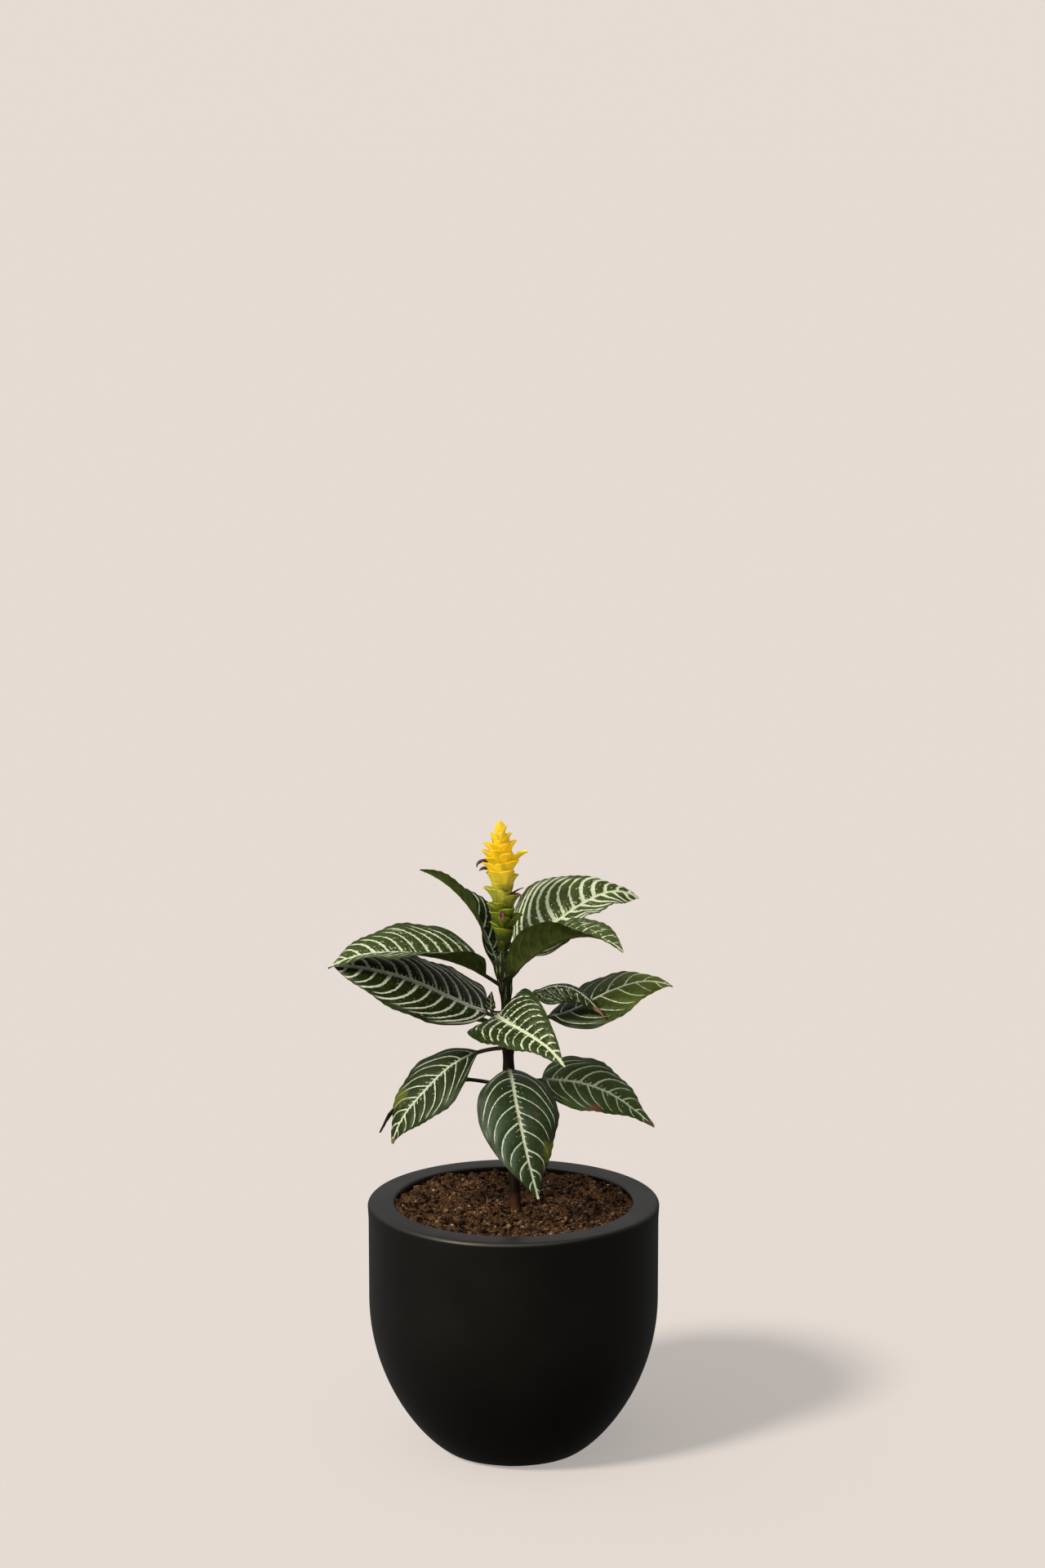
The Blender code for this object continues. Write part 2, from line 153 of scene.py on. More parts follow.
walls = sky_ramp(parts.outputs["X"], -0.45, 0.45, ROOM_LEFT, ROOM_RIGHT)
walls = sky_maths("MULTIPLY", walls, sky_ramp(parts.outputs["Z"], -0.9, -0.25, 0.3, 1.0))
back = sky_ramp(parts.outputs["Y"], 0.0, 0.8, 0.0, ROOM_BACK)
back = sky_maths("MULTIPLY", back, sky_ramp(parts.outputs["Z"], 0.0, 0.25, 0.0, 1.0))
walls = sky_maths("ADD", walls, back)
box = sky_ramp(towards_box.outputs["Value"], 0.55, 0.9, 0.0, SOFT_BOX)
tree.links.new(sky_maths("ADD", walls, box), room.inputs["Strength"])
room.inputs["Color"].default_value = (*SKY_COLOUR, 1)
choice = tree.nodes.new("ShaderNodeMixShader")
rays = tree.nodes.new("ShaderNodeLightPath")
tree.links.new(rays.outputs["Is Camera Ray"], choice.inputs[0])
tree.links.new(room.outputs[0], choice.inputs[1])
tree.links.new(seen.outputs[0], choice.inputs[2])
tree.links.new(choice.outputs[0], tree.nodes["World Output"].inputs[0])


def broad_lamp(name, strength, place):
    """A far lamp with soft shadows, which shines from the side of this place."""
    lamp = bpy.data.lights.new(name, "SUN")
    lamp.energy = strength
    lamp.angle = math.radians(KEY_ANGLE)
    lamp.color = KEY_COLOUR
    made = bpy.data.objects.new(name, lamp)
    made.rotation_euler = Vector(place).to_track_quat("Z", "Y").to_euler()
    bpy.context.scene.collection.objects.link(made)
    return made


floor_only = bpy.data.collections.new("floor only")
floor_only.objects.link(paper)
shadow_makers = bpy.data.collections.new("shadow makers")
floor_key = broad_lamp("floor_key", FLOOR_KEY, KEY_FROM)
floor_key.light_linking.receiver_collection = floor_only
floor_key.light_linking.blocker_collection = shadow_makers
floor_fill = broad_lamp("floor_fill", FLOOR_FILL, (0, 0, 1))
floor_fill.data.color = SKY_COLOUR
floor_fill.light_linking.receiver_collection = floor_only
floor_fill.light_linking.blocker_collection = floor_only

all_but_floor = bpy.data.collections.new("all but the floor")
all_but_floor.objects.link(paper)
all_but_floor.collection_objects[0].light_linking.link_state = "EXCLUDE"
plant_key = broad_lamp("plant_key", PLANT_KEY, KEY_FROM)
plant_key.light_linking.receiver_collection = all_but_floor
bpy.context.scene.view_settings.view_transform = "Standard"

# The camera stands 2.4 m in front of the pot, a little above the flower, and looks slightly down.

CAMERA_PLACE = (0.00616, -2.4443, 0.9223)
CAMERA_DOWN = 10.594

camera = bpy.data.objects.new("camera", bpy.data.cameras.new("camera"))
camera.data.lens = 85
camera.location = CAMERA_PLACE
camera.rotation_euler = (math.radians(90 - CAMERA_DOWN), 0, 0)
bpy.context.scene.collection.objects.link(camera)
bpy.context.scene.camera = camera


# The pot: slip-cast ceramic with a satin black glaze. A small flat foot swells into a round bowl, the upper
# wall stands nearly upright, and the thick flat rim has softly rounded edges.

MM = 0.001
POT_HEIGHT = 175
POT_RADIUS = 99.5
RIM_RADIUS = 100
RIM_ROUND = 3
MOUTH_RADIUS = 81.5
MOUTH_ROUND = 2
FOOT_RADIUS = 46.8
FOOT_ROUND = 1.0
BOWL_HEIGHT = 107
BOWL_FULLNESS = 1.57
POT_FLOOR = 15
LOW_WALL = 14


def smooth(value, low, high):
    """0 below low, 1 above high, and the S-curve t^2 (3 - 2 t) between them."""
    t = np.clip((value - low) / (high - low), 0, 1)
    return t * t * (3 - 2 * t)


def bowl(foot, wall, height, count):
    """Radii and heights of a bowl's side: radius = foot + (wall - foot) sin(a)^fullness and
    height = bowl height (1 - cos a), for a from near 0 to 90 degrees."""
    angle = np.radians(np.linspace(6, 90, count))
    radius = foot + (wall - foot) * np.sin(angle) ** BOWL_FULLNESS
    return np.stack([radius, height * (1 - np.cos(angle))], 1)


def corner(middle, radius, first, last, count):
    """Points of a rounded corner in a profile: a circular arc about its middle, in degrees."""
    angle = np.radians(np.linspace(first, last, count))
    return np.stack([middle[0] + radius * np.cos(angle), middle[1] + radius * np.sin(angle)], 1)


def turned(profile, sides):
    """Grid of a profile of (radius, height) turned round Z: (r cos a, r sin a, h)."""
    angle = np.arange(sides) * 2 * math.pi / sides
    across = profile[:, 0, None] * np.stack([np.cos(angle), np.sin(angle)])[:, None]
    return np.stack([across[0], across[1], profile[:, 1, None] + 0 * across[0]], -1)


outer_side = bowl(FOOT_RADIUS, POT_RADIUS, BOWL_HEIGHT, 60)
outer_side = outer_side[outer_side[:, 1] > FOOT_ROUND * 1.6]
upright = np.stack([np.full(12, POT_RADIUS), np.linspace(BOWL_HEIGHT, POT_HEIGHT - 12, 13)[1:]], 1)
inner_side = bowl(FOOT_RADIUS - LOW_WALL, MOUTH_RADIUS, BOWL_HEIGHT - POT_FLOOR, 24)[::-1] + (0, POT_FLOOR)
pot_profile = np.concatenate([
    [(0, 0), (FOOT_RADIUS * 0.6, 0)],
    corner((FOOT_RADIUS - FOOT_ROUND, FOOT_ROUND), FOOT_ROUND, -90, -20, 6),
    outer_side,
    upright,
    corner((RIM_RADIUS - RIM_ROUND, POT_HEIGHT - RIM_ROUND), RIM_ROUND, 0, 90, 12),
    [(RIM_RADIUS - 9, POT_HEIGHT + 0.05)],
    corner((MOUTH_RADIUS + MOUTH_ROUND, POT_HEIGHT - MOUTH_ROUND), MOUTH_ROUND, 90, 180, 10),
    [(MOUTH_RADIUS, POT_HEIGHT - 8), (MOUTH_RADIUS, POT_HEIGHT - 20)],
    inner_side,
    [((FOOT_RADIUS - LOW_WALL) / 2, POT_FLOOR), (0, POT_FLOOR)],
])
pot_grid = turned(pot_profile, 168) * MM


def node(tree, kind, **links):
    """Adds a shader node. Each keyword is an input's name, with _ for a space: a number, a vector or an
    output to link. A keyword that starts with set_ is a setting of the node itself."""
    made = tree.nodes.new("ShaderNode" + kind)
    for title, value in links.items():
        if title.startswith("set_"):
            setattr(made, title[4:], value)
    for title, value in links.items():
        if title.startswith("set_"):
            continue
        socket = made.inputs[int(title[2:])] if title.startswith("at") else made.inputs[title.replace("_", " ")]
        if isinstance(value, bpy.types.NodeSocket):
            tree.links.new(value, socket)
        else:
            socket.default_value = value
    return made


def maths(tree, operation, *values, clamp=False):
    """The output of a Math node with these inputs."""
    inputs = {f"at{k}": value for k, value in enumerate(values)}
    return node(tree, "Math", set_operation=operation, set_use_clamp=clamp, **inputs).outputs[0]


def ramp(tree, value, low, high, bottom=0.0, top=1.0):
    """bottom where value is below low, top where it is above high, and an S-curve between them."""
    made = node(tree, "MapRange", set_interpolation_type="SMOOTHSTEP", Value=value)
    for title, number in (("From Min", low), ("From Max", high), ("To Min", bottom), ("To Max", top)):
        if isinstance(number, bpy.types.NodeSocket):
            tree.links.new(number, made.inputs[title])
        else:
            made.inputs[title].default_value = number
    return made.outputs[0]


def blended(tree, share, first, second):
    """The colour that goes from first to second as share goes from 0 to 1."""
    made = tree.nodes.new("ShaderNodeMix")
    made.data_type = "RGBA"
    for socket, value in ((made.inputs[0], share), (made.inputs[6], first), (made.inputs[7], second)):
        if isinstance(value, bpy.types.NodeSocket):
            tree.links.new(value, socket)
        else:
            socket.default_value = (*value, 1) if isinstance(value, tuple) else value
    return made.outputs[2]


def noise(tree, vector, scale, detail=2.0):
    """The value of a Noise texture, about 0.5 on average."""
    made = node(tree, "TexNoise", Vector=vector, Scale=scale, Detail=detail)
    return made.outputs[0]


def here(tree):
    """The Object coordinates."""
    return tree.nodes.new("ShaderNodeTexCoord").outputs["Object"]


glaze, tree, shader = paint("satin black glaze", (0.003, 0.0026, 0.0022), 0.38)
shader.inputs["Specular Tint"].default_value = (1.0, 0.88, 0.72, 1)
cloud = noise(tree, here(tree), 22, 3)
grain = noise(tree, here(tree), 900, 2)
colour = blended(tree, cloud, (0.0020, 0.0017, 0.0014), (0.0042, 0.0036, 0.0030))
tree.links.new(colour, shader.inputs["Base Color"])
tree.links.new(ramp(tree, cloud, 0.3, 0.7, 0.34, 0.42), shader.inputs["Roughness"])
relief = node(tree, "Bump", Strength=0.10, Distance=0.0002, Height=grain)
tree.links.new(relief.outputs[0], shader.inputs["Normal"])

pot = mesh_piece("glazed_pot", pot_grid.reshape(-1, 3), grid_faces(*pot_grid.shape[:2], True), [glaze])
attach(pot, "root")
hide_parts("pot")
shadow_makers.objects.link(pot)


# The soil: dark red-brown peat, pressed in by hand to just below the rim. It has crumbs and hollows, a few
# fibres, and white grains of perlite.

SOIL_TOP = 169
SOIL_EDGE = 81.3
SOIL_UNDER = 150
STEM_FOOT_X = 1.8
CRUMBS = 3600
PERLITE = 60
FIBRES = 900


def value_noise(x, y, cell, seed):
    """Smooth noise between 0 and 1: random numbers on a square lattice, joined by S-curves."""
    lattice = np.random.default_rng(seed).random((97, 97))
    u, v = x / cell + 40, y / cell + 40
    i, j = np.floor(u).astype(int), np.floor(v).astype(int)
    a, b = smooth(u - i, 0, 1), smooth(v - j, 0, 1)
    low = lattice[i % 97, j % 97] * (1 - a) + lattice[(i + 1) % 97, j % 97] * a
    high = lattice[i % 97, (j + 1) % 97] * (1 - a) + lattice[(i + 1) % 97, (j + 1) % 97] * a
    return low * (1 - b) + high * b


def soil_height(x, y):
    """Height of the soil in mm: four sizes of lumps with sharp hollows between them, and a slight rise round
    the stem. A lump is 1 - |2 n - 1|, where n is noise, so that its edges are creased."""
    radius = np.hypot(x - STEM_FOOT_X, y)
    clods = 1 - np.abs(2 * value_noise(x, y, 15, 1) - 1)
    clumps = 1 - np.abs(2 * value_noise(x, y, 6.5, 2) - 1)
    lumps = 3.8 * clods + 3.6 * clumps + 2.0 * value_noise(x, y, 3.1, 3) + 1.2 * value_noise(x, y, 1.5, 4)
    level = SOIL_TOP - 6.0 + 2.2 * smooth(radius, 55, 79) + 4.5 * (1 - smooth(radius, 2, 12))
    return level + lumps * smooth(radius, 2, 12)


angle = np.linspace(0, 2 * math.pi, 300, endpoint=False)
radius = np.concatenate([[3.0, 3.0], np.linspace(3.2, SOIL_EDGE, 105), [SOIL_EDGE, 3.0]])
soil_x = radius[:, None] * np.cos(angle) + STEM_FOOT_X * (1 - smooth(radius, 3, 30))[:, None]
soil_y = radius[:, None] * np.sin(angle)
soil_z = soil_height(soil_x, soil_y)
soil_z[[0, -2, -1]] = SOIL_UNDER
soil_grid = np.stack([soil_x, soil_y, soil_z], -1)[::-1] * MM

# Painted shade: the soil's colour darkens by height, to nearly black in its hollows, where shade falls.
hollow_shade_share = np.clip((soil_grid[..., 2] / MM - SOIL_TOP + 4.5) / 6, 0, 1)
soil_hollow_shade = np.stack([hollow_shade_share, 0 * hollow_shade_share, 0 * hollow_shade_share], -1).reshape(-1, 3)

peat, tree, shader = paint("peat", (0.05, 0.025, 0.012), 0.95)
tone = node(tree, "Attribute", set_attribute_name="tone").outputs["Vector"]
share = node(tree, "SeparateXYZ", Vector=tone).outputs[0]
patches = ramp(tree, noise(tree, here(tree), 160, 4), 0.36, 0.66)
specks = ramp(tree, noise(tree, here(tree), 900, 3), 0.42, 0.66)
colour = blended(tree, patches, (0.010, 0.0032, 0.0011), (0.088, 0.035, 0.013))
colour = blended(tree, specks, colour, (0.19, 0.10, 0.045))
# Painted shade: by the tone attribute, the hollows of the soil are mixed towards nearly black.
colour = blended(tree, ramp(tree, share, 0.1, 0.75), (0.004, 0.0014, 0.0005), colour)
tree.links.new(colour, shader.inputs["Base Color"])
relief = node(tree, "Bump", Strength=0.9, Distance=0.0008, Height=specks)
tree.links.new(relief.outputs[0], shader.inputs["Normal"])
shader.inputs["Specular IOR Level"].default_value = 0.1

points, faces = soil_grid.reshape(-1, 3), grid_faces(*soil_grid.shape[:2], True)
soil = mesh_piece("peat_soil", points, faces, [peat], values={"tone": soil_hollow_shade})
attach(soil, "root")
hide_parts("soil")


def lump_grid(rows, columns):
    """A unit ball as a grid from pole to pole: (sin a cos b, sin a sin b, cos a)."""
    a = np.linspace(0, math.pi, rows)[:, None]
    b = np.arange(columns) * 2 * math.pi / columns
    ball = np.stack([np.sin(a) * np.cos(b), np.sin(a) * np.sin(b), np.cos(a) + 0 * b], -1)
    return ball.reshape(-1, 3)


def scattered(rng, shape, faces, count, size, flatness, sink, rim=79):
    """Many copies of one small shape, lying at random on the soil. Each is stretched, squeezed and turned;
    size is the range of its radius in mm and sink how far it sits below the surface, in radii."""
    way, out = rng.uniform(0, 2 * math.pi, count), rim * np.sqrt(rng.uniform(0.004, 1, count))
    x, y = out * np.cos(way), out * np.sin(way)
    radius = size[0] + (size[1] - size[0]) * rng.random(count) ** 2
    stretch = radius[:, None] * rng.uniform((0.8, 0.6, flatness), (1.5, 1.1, 1.0), (count, 3))
    bumps = rng.uniform(0.78, 1.15, (count, len(shape), 1))
    bumps[:, shape[:, 2] > 0.999], bumps[:, shape[:, 2] < -0.999] = 1, 1
    turn, tip = rng.uniform(0, 2 * math.pi, count), rng.uniform(-0.7, 0.7, count)
    zero, one = np.zeros(count), np.ones(count)
    spin = np.array([[np.cos(turn), -np.sin(turn), zero], [np.sin(turn), np.cos(turn), zero], [zero, zero, one]])
    tilt = np.array([[np.cos(tip), zero, -np.sin(tip)], [zero, one, zero], [np.sin(tip), zero, np.cos(tip)]])
    placed = np.einsum("ijn,jkn,npk->npi", spin, tilt, shape * stretch[:, None] * bumps)
    placed += np.stack([x, y, soil_height(x, y) - sink * radius], -1)[:, None]
    numbers = faces[None] + np.arange(count)[:, None, None] * len(shape)
    tone = np.repeat(rng.random((count, 3)), len(shape), 0)
    return placed.reshape(-1, 3) * MM, numbers.reshape(-1, 4), tone


rng = np.random.default_rng(11)
ball = lump_grid(5, 6)
ball_faces = grid_faces(5, 6, True)[:, ::-1]

crumb_peat, tree, shader = paint("peat crumbs", (0.05, 0.025, 0.012), 0.95)
tone = node(tree, "Attribute", set_attribute_name="tone").outputs["Vector"]
shade = node(tree, "SeparateXYZ", Vector=tone).outputs[0]
colour = blended(tree, maths(tree, "POWER", shade, 2.6), (0.016, 0.005, 0.002), (0.34, 0.19, 0.09))
damp = ramp(tree, noise(tree, here(tree), 70, 3), 0.42, 0.60, 0.28, 1.05)
colour = node(tree, "HueSaturation", Color=colour, Value=damp).outputs[0]
specks = noise(tree, here(tree), 1200, 2)
colour = blended(tree, ramp(tree, specks, 0.45, 0.75), colour, (0.015, 0.006, 0.003))
tree.links.new(colour, shader.inputs["Base Color"])
relief = node(tree, "Bump", Strength=0.7, Distance=0.0004, Height=specks)
tree.links.new(relief.outputs[0], shader.inputs["Normal"])
shader.inputs["Specular IOR Level"].default_value = 0.1
points, faces, tone = scattered(rng, ball, ball_faces, CRUMBS, (0.4, 2.1), 0.5, 0.0)
crumbs = mesh_piece("peat_crumbs", points, faces, [crumb_peat], values={"tone": tone})
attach(crumbs, "root")

white, tree, shader = paint("perlite", (0.52, 0.47, 0.40), 0.9)
dust = ramp(tree, noise(tree, here(tree), 700, 3), 0.35, 0.65)
tree.links.new(blended(tree, dust, (0.45, 0.36, 0.26), (0.78, 0.72, 0.64)), shader.inputs["Base Color"])
points, faces, _ = scattered(rng, ball, ball_faces, PERLITE, (0.4, 1.1), 0.6, 0.0)
perlite = mesh_piece("perlite_grains", points, faces, [white])
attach(perlite, "root")

straw, tree, shader = paint("plant fibres", (0.16, 0.09, 0.045), 0.8)
streak = ramp(tree, noise(tree, here(tree), 240, 2), 0.35, 0.65)
shader.inputs["Specular IOR Level"].default_value = 0.1
tree.links.new(blended(tree, streak, (0.10, 0.040, 0.012), (0.42, 0.24, 0.11)), shader.inputs["Base Color"])
rod = lump_grid(7, 4)[:, [2, 0, 1]] * (5.0, 0.2, 0.2)
rod_faces = grid_faces(7, 4, True)[:, ::-1]
rod[:, 1] += 0.05 * rod[:, 0] ** 2
points, faces, _ = scattered(rng, rod, rod_faces, FIBRES, (0.3, 1.1), 0.9, -0.4, rim=77)
fibres = mesh_piece("soil_fibres", points, faces, [straw])
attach(fibres, "root")


# The stem: one upright shoot that leans a little to the left. It is dark purple-brown below and greener
# above, with faint lengthwise ridges, and it swells at each pair of leaves. The feet of the four upper
# leaves run down it as ribs.

STEM_LEAN = 11.2
STEM_TOP = 350
STEM_FOOT = 140
STEM_THICK = (3.7, 3.2)
SPIKE_TIP = 440
LEAF_NODES = ((255, 0.6), (267, 0.6), (281, 0.6), (304, 0.9), (323, 1.2))
UPPER_HEADINGS = (20, -40, 150, 190)


def stem_x(height):
    """The stem leans to the left as it rises, most of all low down."""
    share = np.clip((height - SOIL_TOP) / (SPIKE_TIP - SOIL_TOP), 0, 1)
    return STEM_FOOT_X - STEM_LEAN * share**0.8


def stem_radius(height):
    """The stem tapers upwards, and bulges at each leaf node by size * exp(-((h - node) / 5)^2)."""
    share = np.clip((height - SOIL_TOP) / (STEM_TOP - SOIL_TOP), 0, 1)
    swell = sum(size * np.exp(-(((height - joint) / 5) ** 2)) for joint, size in LEAF_NODES)
    return STEM_THICK[0] + (STEM_THICK[1] - STEM_THICK[0]) * share + swell


angle = np.arange(48) * 2 * math.pi / 48
height = np.linspace(STEM_FOOT, STEM_TOP, 260)[:, None]
ridges = 0.10 * np.cos(4 * angle + 0.5) + 0.05 * np.cos(13 * angle + height / 40)
knobs = 0.35 * value_noise(angle * 5 + 0 * height, height + 0 * angle, 7, 5) - 0.17
scar = -0.25 * sum(np.exp(-(((height - joint + 3.4) / 0.5) ** 2)) for joint, _ in LEAF_NODES)
turn = np.radians(UPPER_HEADINGS)[:, None, None]
clasp = np.exp((np.cos(angle - turn) - 1) * 5).sum(0) * smooth(height, 321, 340) * (1 - smooth(height, 341, 350))
stem_thick = stem_radius(height) + ridges + knobs + scar + 3.0 * clasp
stem_grid = np.stack([
    stem_x(height) + stem_thick * np.cos(angle),
    stem_thick * np.sin(angle),
    height + 0 * angle,
], -1)
stem_ends = [(stem_x(h), 0, h) + np.zeros((1, 48, 3)) for h in (STEM_FOOT, STEM_TOP)]
stem_grid = np.concatenate([stem_ends[0], stem_grid, stem_ends[1]]) * MM

bark, tree, shader = paint("stem skin", (0.03, 0.014, 0.010), 0.5)
rise = node(tree, "SeparateXYZ", Vector=here(tree)).outputs["Z"]
stretched = node(tree, "Mapping", Vector=here(tree), Scale=(1, 1, 0.12)).outputs[0]
streaks = noise(tree, stretched, 900, 3)
blotch = noise(tree, here(tree), 130, 3)
level = maths(tree, "ADD", rise, maths(tree, "MULTIPLY", maths(tree, "SUBTRACT", blotch, 0.5), 0.03))
colour = blended(tree, ramp(tree, level, 0.168, 0.186), (0.10, 0.038, 0.016), (0.016, 0.009, 0.0055))
colour = blended(tree, ramp(tree, level, 0.28, 0.33), colour, (0.012, 0.016, 0.003))
colour = blended(tree, ramp(tree, streaks, 0.52, 0.78, 0, 0.45), colour, (0.075, 0.056, 0.036))
pale = maths(tree, "MULTIPLY", ramp(tree, streaks, 0.56, 0.64), ramp(tree, rise, 0.312, 0.325))
colour = blended(tree, pale, colour, (0.20, 0.24, 0.10))
tree.links.new(colour, shader.inputs["Base Color"])
tree.links.new(ramp(tree, blotch, 0.3, 0.7, 0.42, 0.6), shader.inputs["Roughness"])
shader.inputs["Specular IOR Level"].default_value = 0.15
relief = node(tree, "Bump", Strength=0.5, Distance=0.0003, Height=streaks)
tree.links.new(relief.outputs[0], shader.inputs["Normal"])

stem = mesh_piece("leaf_stem", stem_grid.reshape(-1, 3), grid_faces(*stem_grid.shape[:2], True), [bark])
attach(stem, "root")
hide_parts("stem")


# The leaves: thin glossy blades, dark green with a cream midrib and cream bands along the side veins. The
# veins are sunk into the upper face and the green between them swells up. The underside is plain olive.

PETIOLE = 1.3
LEAF_SHAPE = ((0.75, 1.15), (0.75, 1.15))
BLADE = 0.55
KEEL = 1.0
ACROSS = 61
ALONG = 150
MARGIN_WAVE = 0.03
MARGIN_WAVES = 3.5


def rib_line(distances, stations, pitch, heading):
    """Points of a midrib and its three directions: along it, to its left, and up out of its upper face.
    Pitch and heading are degrees at the stations; the line is the sum of its small steps."""
    fine = np.linspace(0, stations[-1], 600)
    p, h = (np.radians(np.interp(fine, stations, angle)) for angle in (pitch, heading))
    along = np.stack([np.cos(p) * np.cos(h), np.cos(p) * np.sin(h), np.sin(p)], 1)
    steps = (along[1:] + along[:-1]) / 2 * (fine[1] - fine[0])
    line = np.concatenate([np.zeros((1, 3)), np.cumsum(steps, 0)])
    at = [np.stack([np.interp(distances, fine, a[:, k]) for k in range(3)], 1) for a in (line, along)]
    points, along = at[0], at[1] / np.linalg.norm(at[1], axis=1)[:, None]
    turn = np.radians(np.interp(distances, stations, heading))
    left = np.stack([-np.sin(turn), np.cos(turn), 0 * turn], 1)
    return points, along, left, np.cross(along, left)


def outline(s, rise, fall):
    """Share of the half-width at the share s of the blade's length: s^rise (1-s)^fall, 1 at its widest."""
    widest = rise / (rise + fall)
    return s**rise * (1 - s) ** fall / (widest**rise * (1 - widest) ** fall)


def sheet_rings(line, columns, width, fold, curl, lift, above, below):
    """Closed rings round a blade. Each half is an arc that leaves the midrib at the fold angle and bends by
    curl by the margin; lift moves points out along the upper face's normal, and above and below are the
    thicknesses on its two sides."""
    points, _, left, up = line
    across = np.abs(columns)[None, :]
    side = np.sign(columns)[None, :]
    bend = np.where(np.abs(curl) < 0.01, 0.01, curl)
    angle = fold + bend * across
    out = width * (np.sin(angle) - np.sin(fold)) / bend * side
    rise = width * (np.cos(fold) - np.cos(angle)) / bend
    middle = points[:, None] + out[..., None] * left[:, None] + rise[..., None] * up[:, None]
    normal = -(np.sin(angle) * side)[..., None] * left[:, None] + np.cos(angle)[..., None] * up[:, None]
    upper = middle + normal * (lift + above)[..., None]
    lower = middle + normal * (lift - below)[..., None]
    return np.concatenate([upper, lower[:, ::-1]], 1)


def vein_field(x, s, t, width, blade, veins):
    """Number of side veins between the leaf's foot and each point, and the mm between two veins there. A
    vein leaves the midrib at x0 and runs forward by width (sweep |t| + bend |t|^4), so a point at x lies on
    the vein number count (x0 / blade)^spread."""
    count, spread, sweep, bend = veins
    slope = np.interp(s, (0, 0.25, 1), (sweep * 0.35, sweep, sweep * 1.25))
    reach = np.abs(t)
    start = (x - width * (slope * reach + bend * reach**4)) / blade
    number = count * np.sign(start) * np.abs(start) ** np.where(start > 0, spread, 1)
    number = number + np.where(t > 0, 0.0, 0.42)
    down, over = np.gradient(number)
    x_down, y_down, y_over = np.gradient(x)[0], np.gradient(t * width)[0], np.gradient(t * width)[1]
    slope_y = over / np.maximum(np.abs(y_over), 1e-3)
    slope_x = (down - slope_y * y_down) / np.maximum(x_down, 1e-3)
    return number, 1 / np.maximum(np.hypot(slope_x, slope_y), 0.02)


def leaf_mesh(height, heading, pitch, petiole, blade, half, roll, fold, curl, shape, stalk, wing, veins, puff):
    """Rings, faces and pattern values of one leaf, from inside the stem to its tip. Distances and places
    are in mm; heading and pitch are degrees at the stem, the blade's foot, a third and two thirds along it
    and its tip. Roll lifts the left half. Half-widths and outlines are (left, right). wing is
    how much wider than thick the stalk is."""
    stations = np.array((0, petiole, petiole + blade / 3, petiole + blade * 2 / 3, petiole + blade))
    share = np.concatenate([np.linspace(0, 0.06, 12)[:-1], np.linspace(0.06, 1, ALONG)])
    share = 1 - (1 - share) ** 1.15
    distances = np.concatenate([np.linspace(stem_radius(height) * 0.3, petiole, 16)[:-1], petiole + blade * share])
    points, along, left, up = rib_line(distances, stations, pitch, heading)
    x = (distances - petiole)[:, None]
    s = np.clip(x / blade, 0, 1)
    turn = np.radians(np.interp(s, (0, 0.5, 1), roll))
    left, up = left * np.cos(turn) + up * np.sin(turn), up * np.cos(turn) - left * np.sin(turn)
    t = np.sin(np.linspace(-1, 1, ACROSS) * math.radians(78))[None, :] / math.sin(math.radians(78))
    widths = [half[k] * outline(s, *shape[k]) for k in (0, 1)]
    width = np.where(t > 0, *widths)
    thick = stalk * (1 - 0.55 * s) * (1 + 0.5 * np.exp(-distances / 3.0))[:, None]
    width = np.hypot(width, thick * (1 + wing * (1 - smooth(s, 0, 0.1))))
    number, gap = vein_field(x + 0 * t, s + 0 * t, t + 0 * s, width, blade, veins)
    flat = smooth(s, 0, 0.1)
    y = t * width
    from_vein = np.abs(number - np.round(number)) * gap
    swell = (1 - np.exp(-from_vein / 1.8)) * (1 - np.exp(-np.abs(y) / 2.5)) * (1 - np.abs(t) ** 6)
    ripple = np.cos(2 * math.pi * number) * np.abs(t) ** 8 * smooth(s, 0.1, 0.3) * (1 - smooth(s, 0.85, 1))
    wave = np.sin(2 * math.pi * MARGIN_WAVES * s + np.sign(t) * 0.8 + height)
    lift = MARGIN_WAVE * half[0] * wave * t**2 * smooth(s, 0.05, 0.3)
    lift = lift + puff * flat * (swell * np.minimum(width / 9, 1) + 0.35 * ripple)
    oval = thick * np.sqrt(1 - 0.93 * t**2)
    leaf_thick = BLADE / 2 * (1 - 0.75 * np.abs(t) ** 10)
    groove = 0.45 * np.exp(-((y / 1.1) ** 2)) * (1 - 0.6 * s)
    above = oval * (1 - flat) + (leaf_thick - groove) * flat
    keel = KEEL * (1 - 0.7 * s) * np.exp(-((y / 1.2) ** 2)) + 0.2 * np.exp(-((from_vein / 0.5) ** 2)) * (1 - t**2)
    below = oval * (1 - flat) + (leaf_thick + keel) * flat
    folded = np.radians(np.interp(s, (0, 0.5, 1), fold)) * flat
    rings = sheet_rings((points, along, left, up), t[0], width, folded, np.radians(curl) * flat, lift, above, below)
    ends = [rings[k].mean(0) + np.zeros((1, 2 * ACROSS, 3)) for k in (0, -1)]
    rings = np.concatenate([ends[0], rings, ends[1]])

    def both_faces(*values):
        stack = np.stack([value + 0 * t + 0 * s for value in values], -1)
        stack = np.concatenate([stack, stack[:, ::-1]], 1)
        return np.concatenate([stack[:1], stack, stack[-1:]]).reshape(-1, 3)

    faces = grid_faces(*rings.shape[:2], True)[:, ::-1]
    slots = (np.tile(np.arange(2 * ACROSS), rings.shape[0] - 1) >= ACROSS - 1).astype(int)
    values = {"vein": both_faces(number, t, gap), "place": both_faces(x, y, s)}
    rings = (rings + (stem_x(height), 0, height)) * MM
    return rings.reshape(-1, 3), faces, slots, values


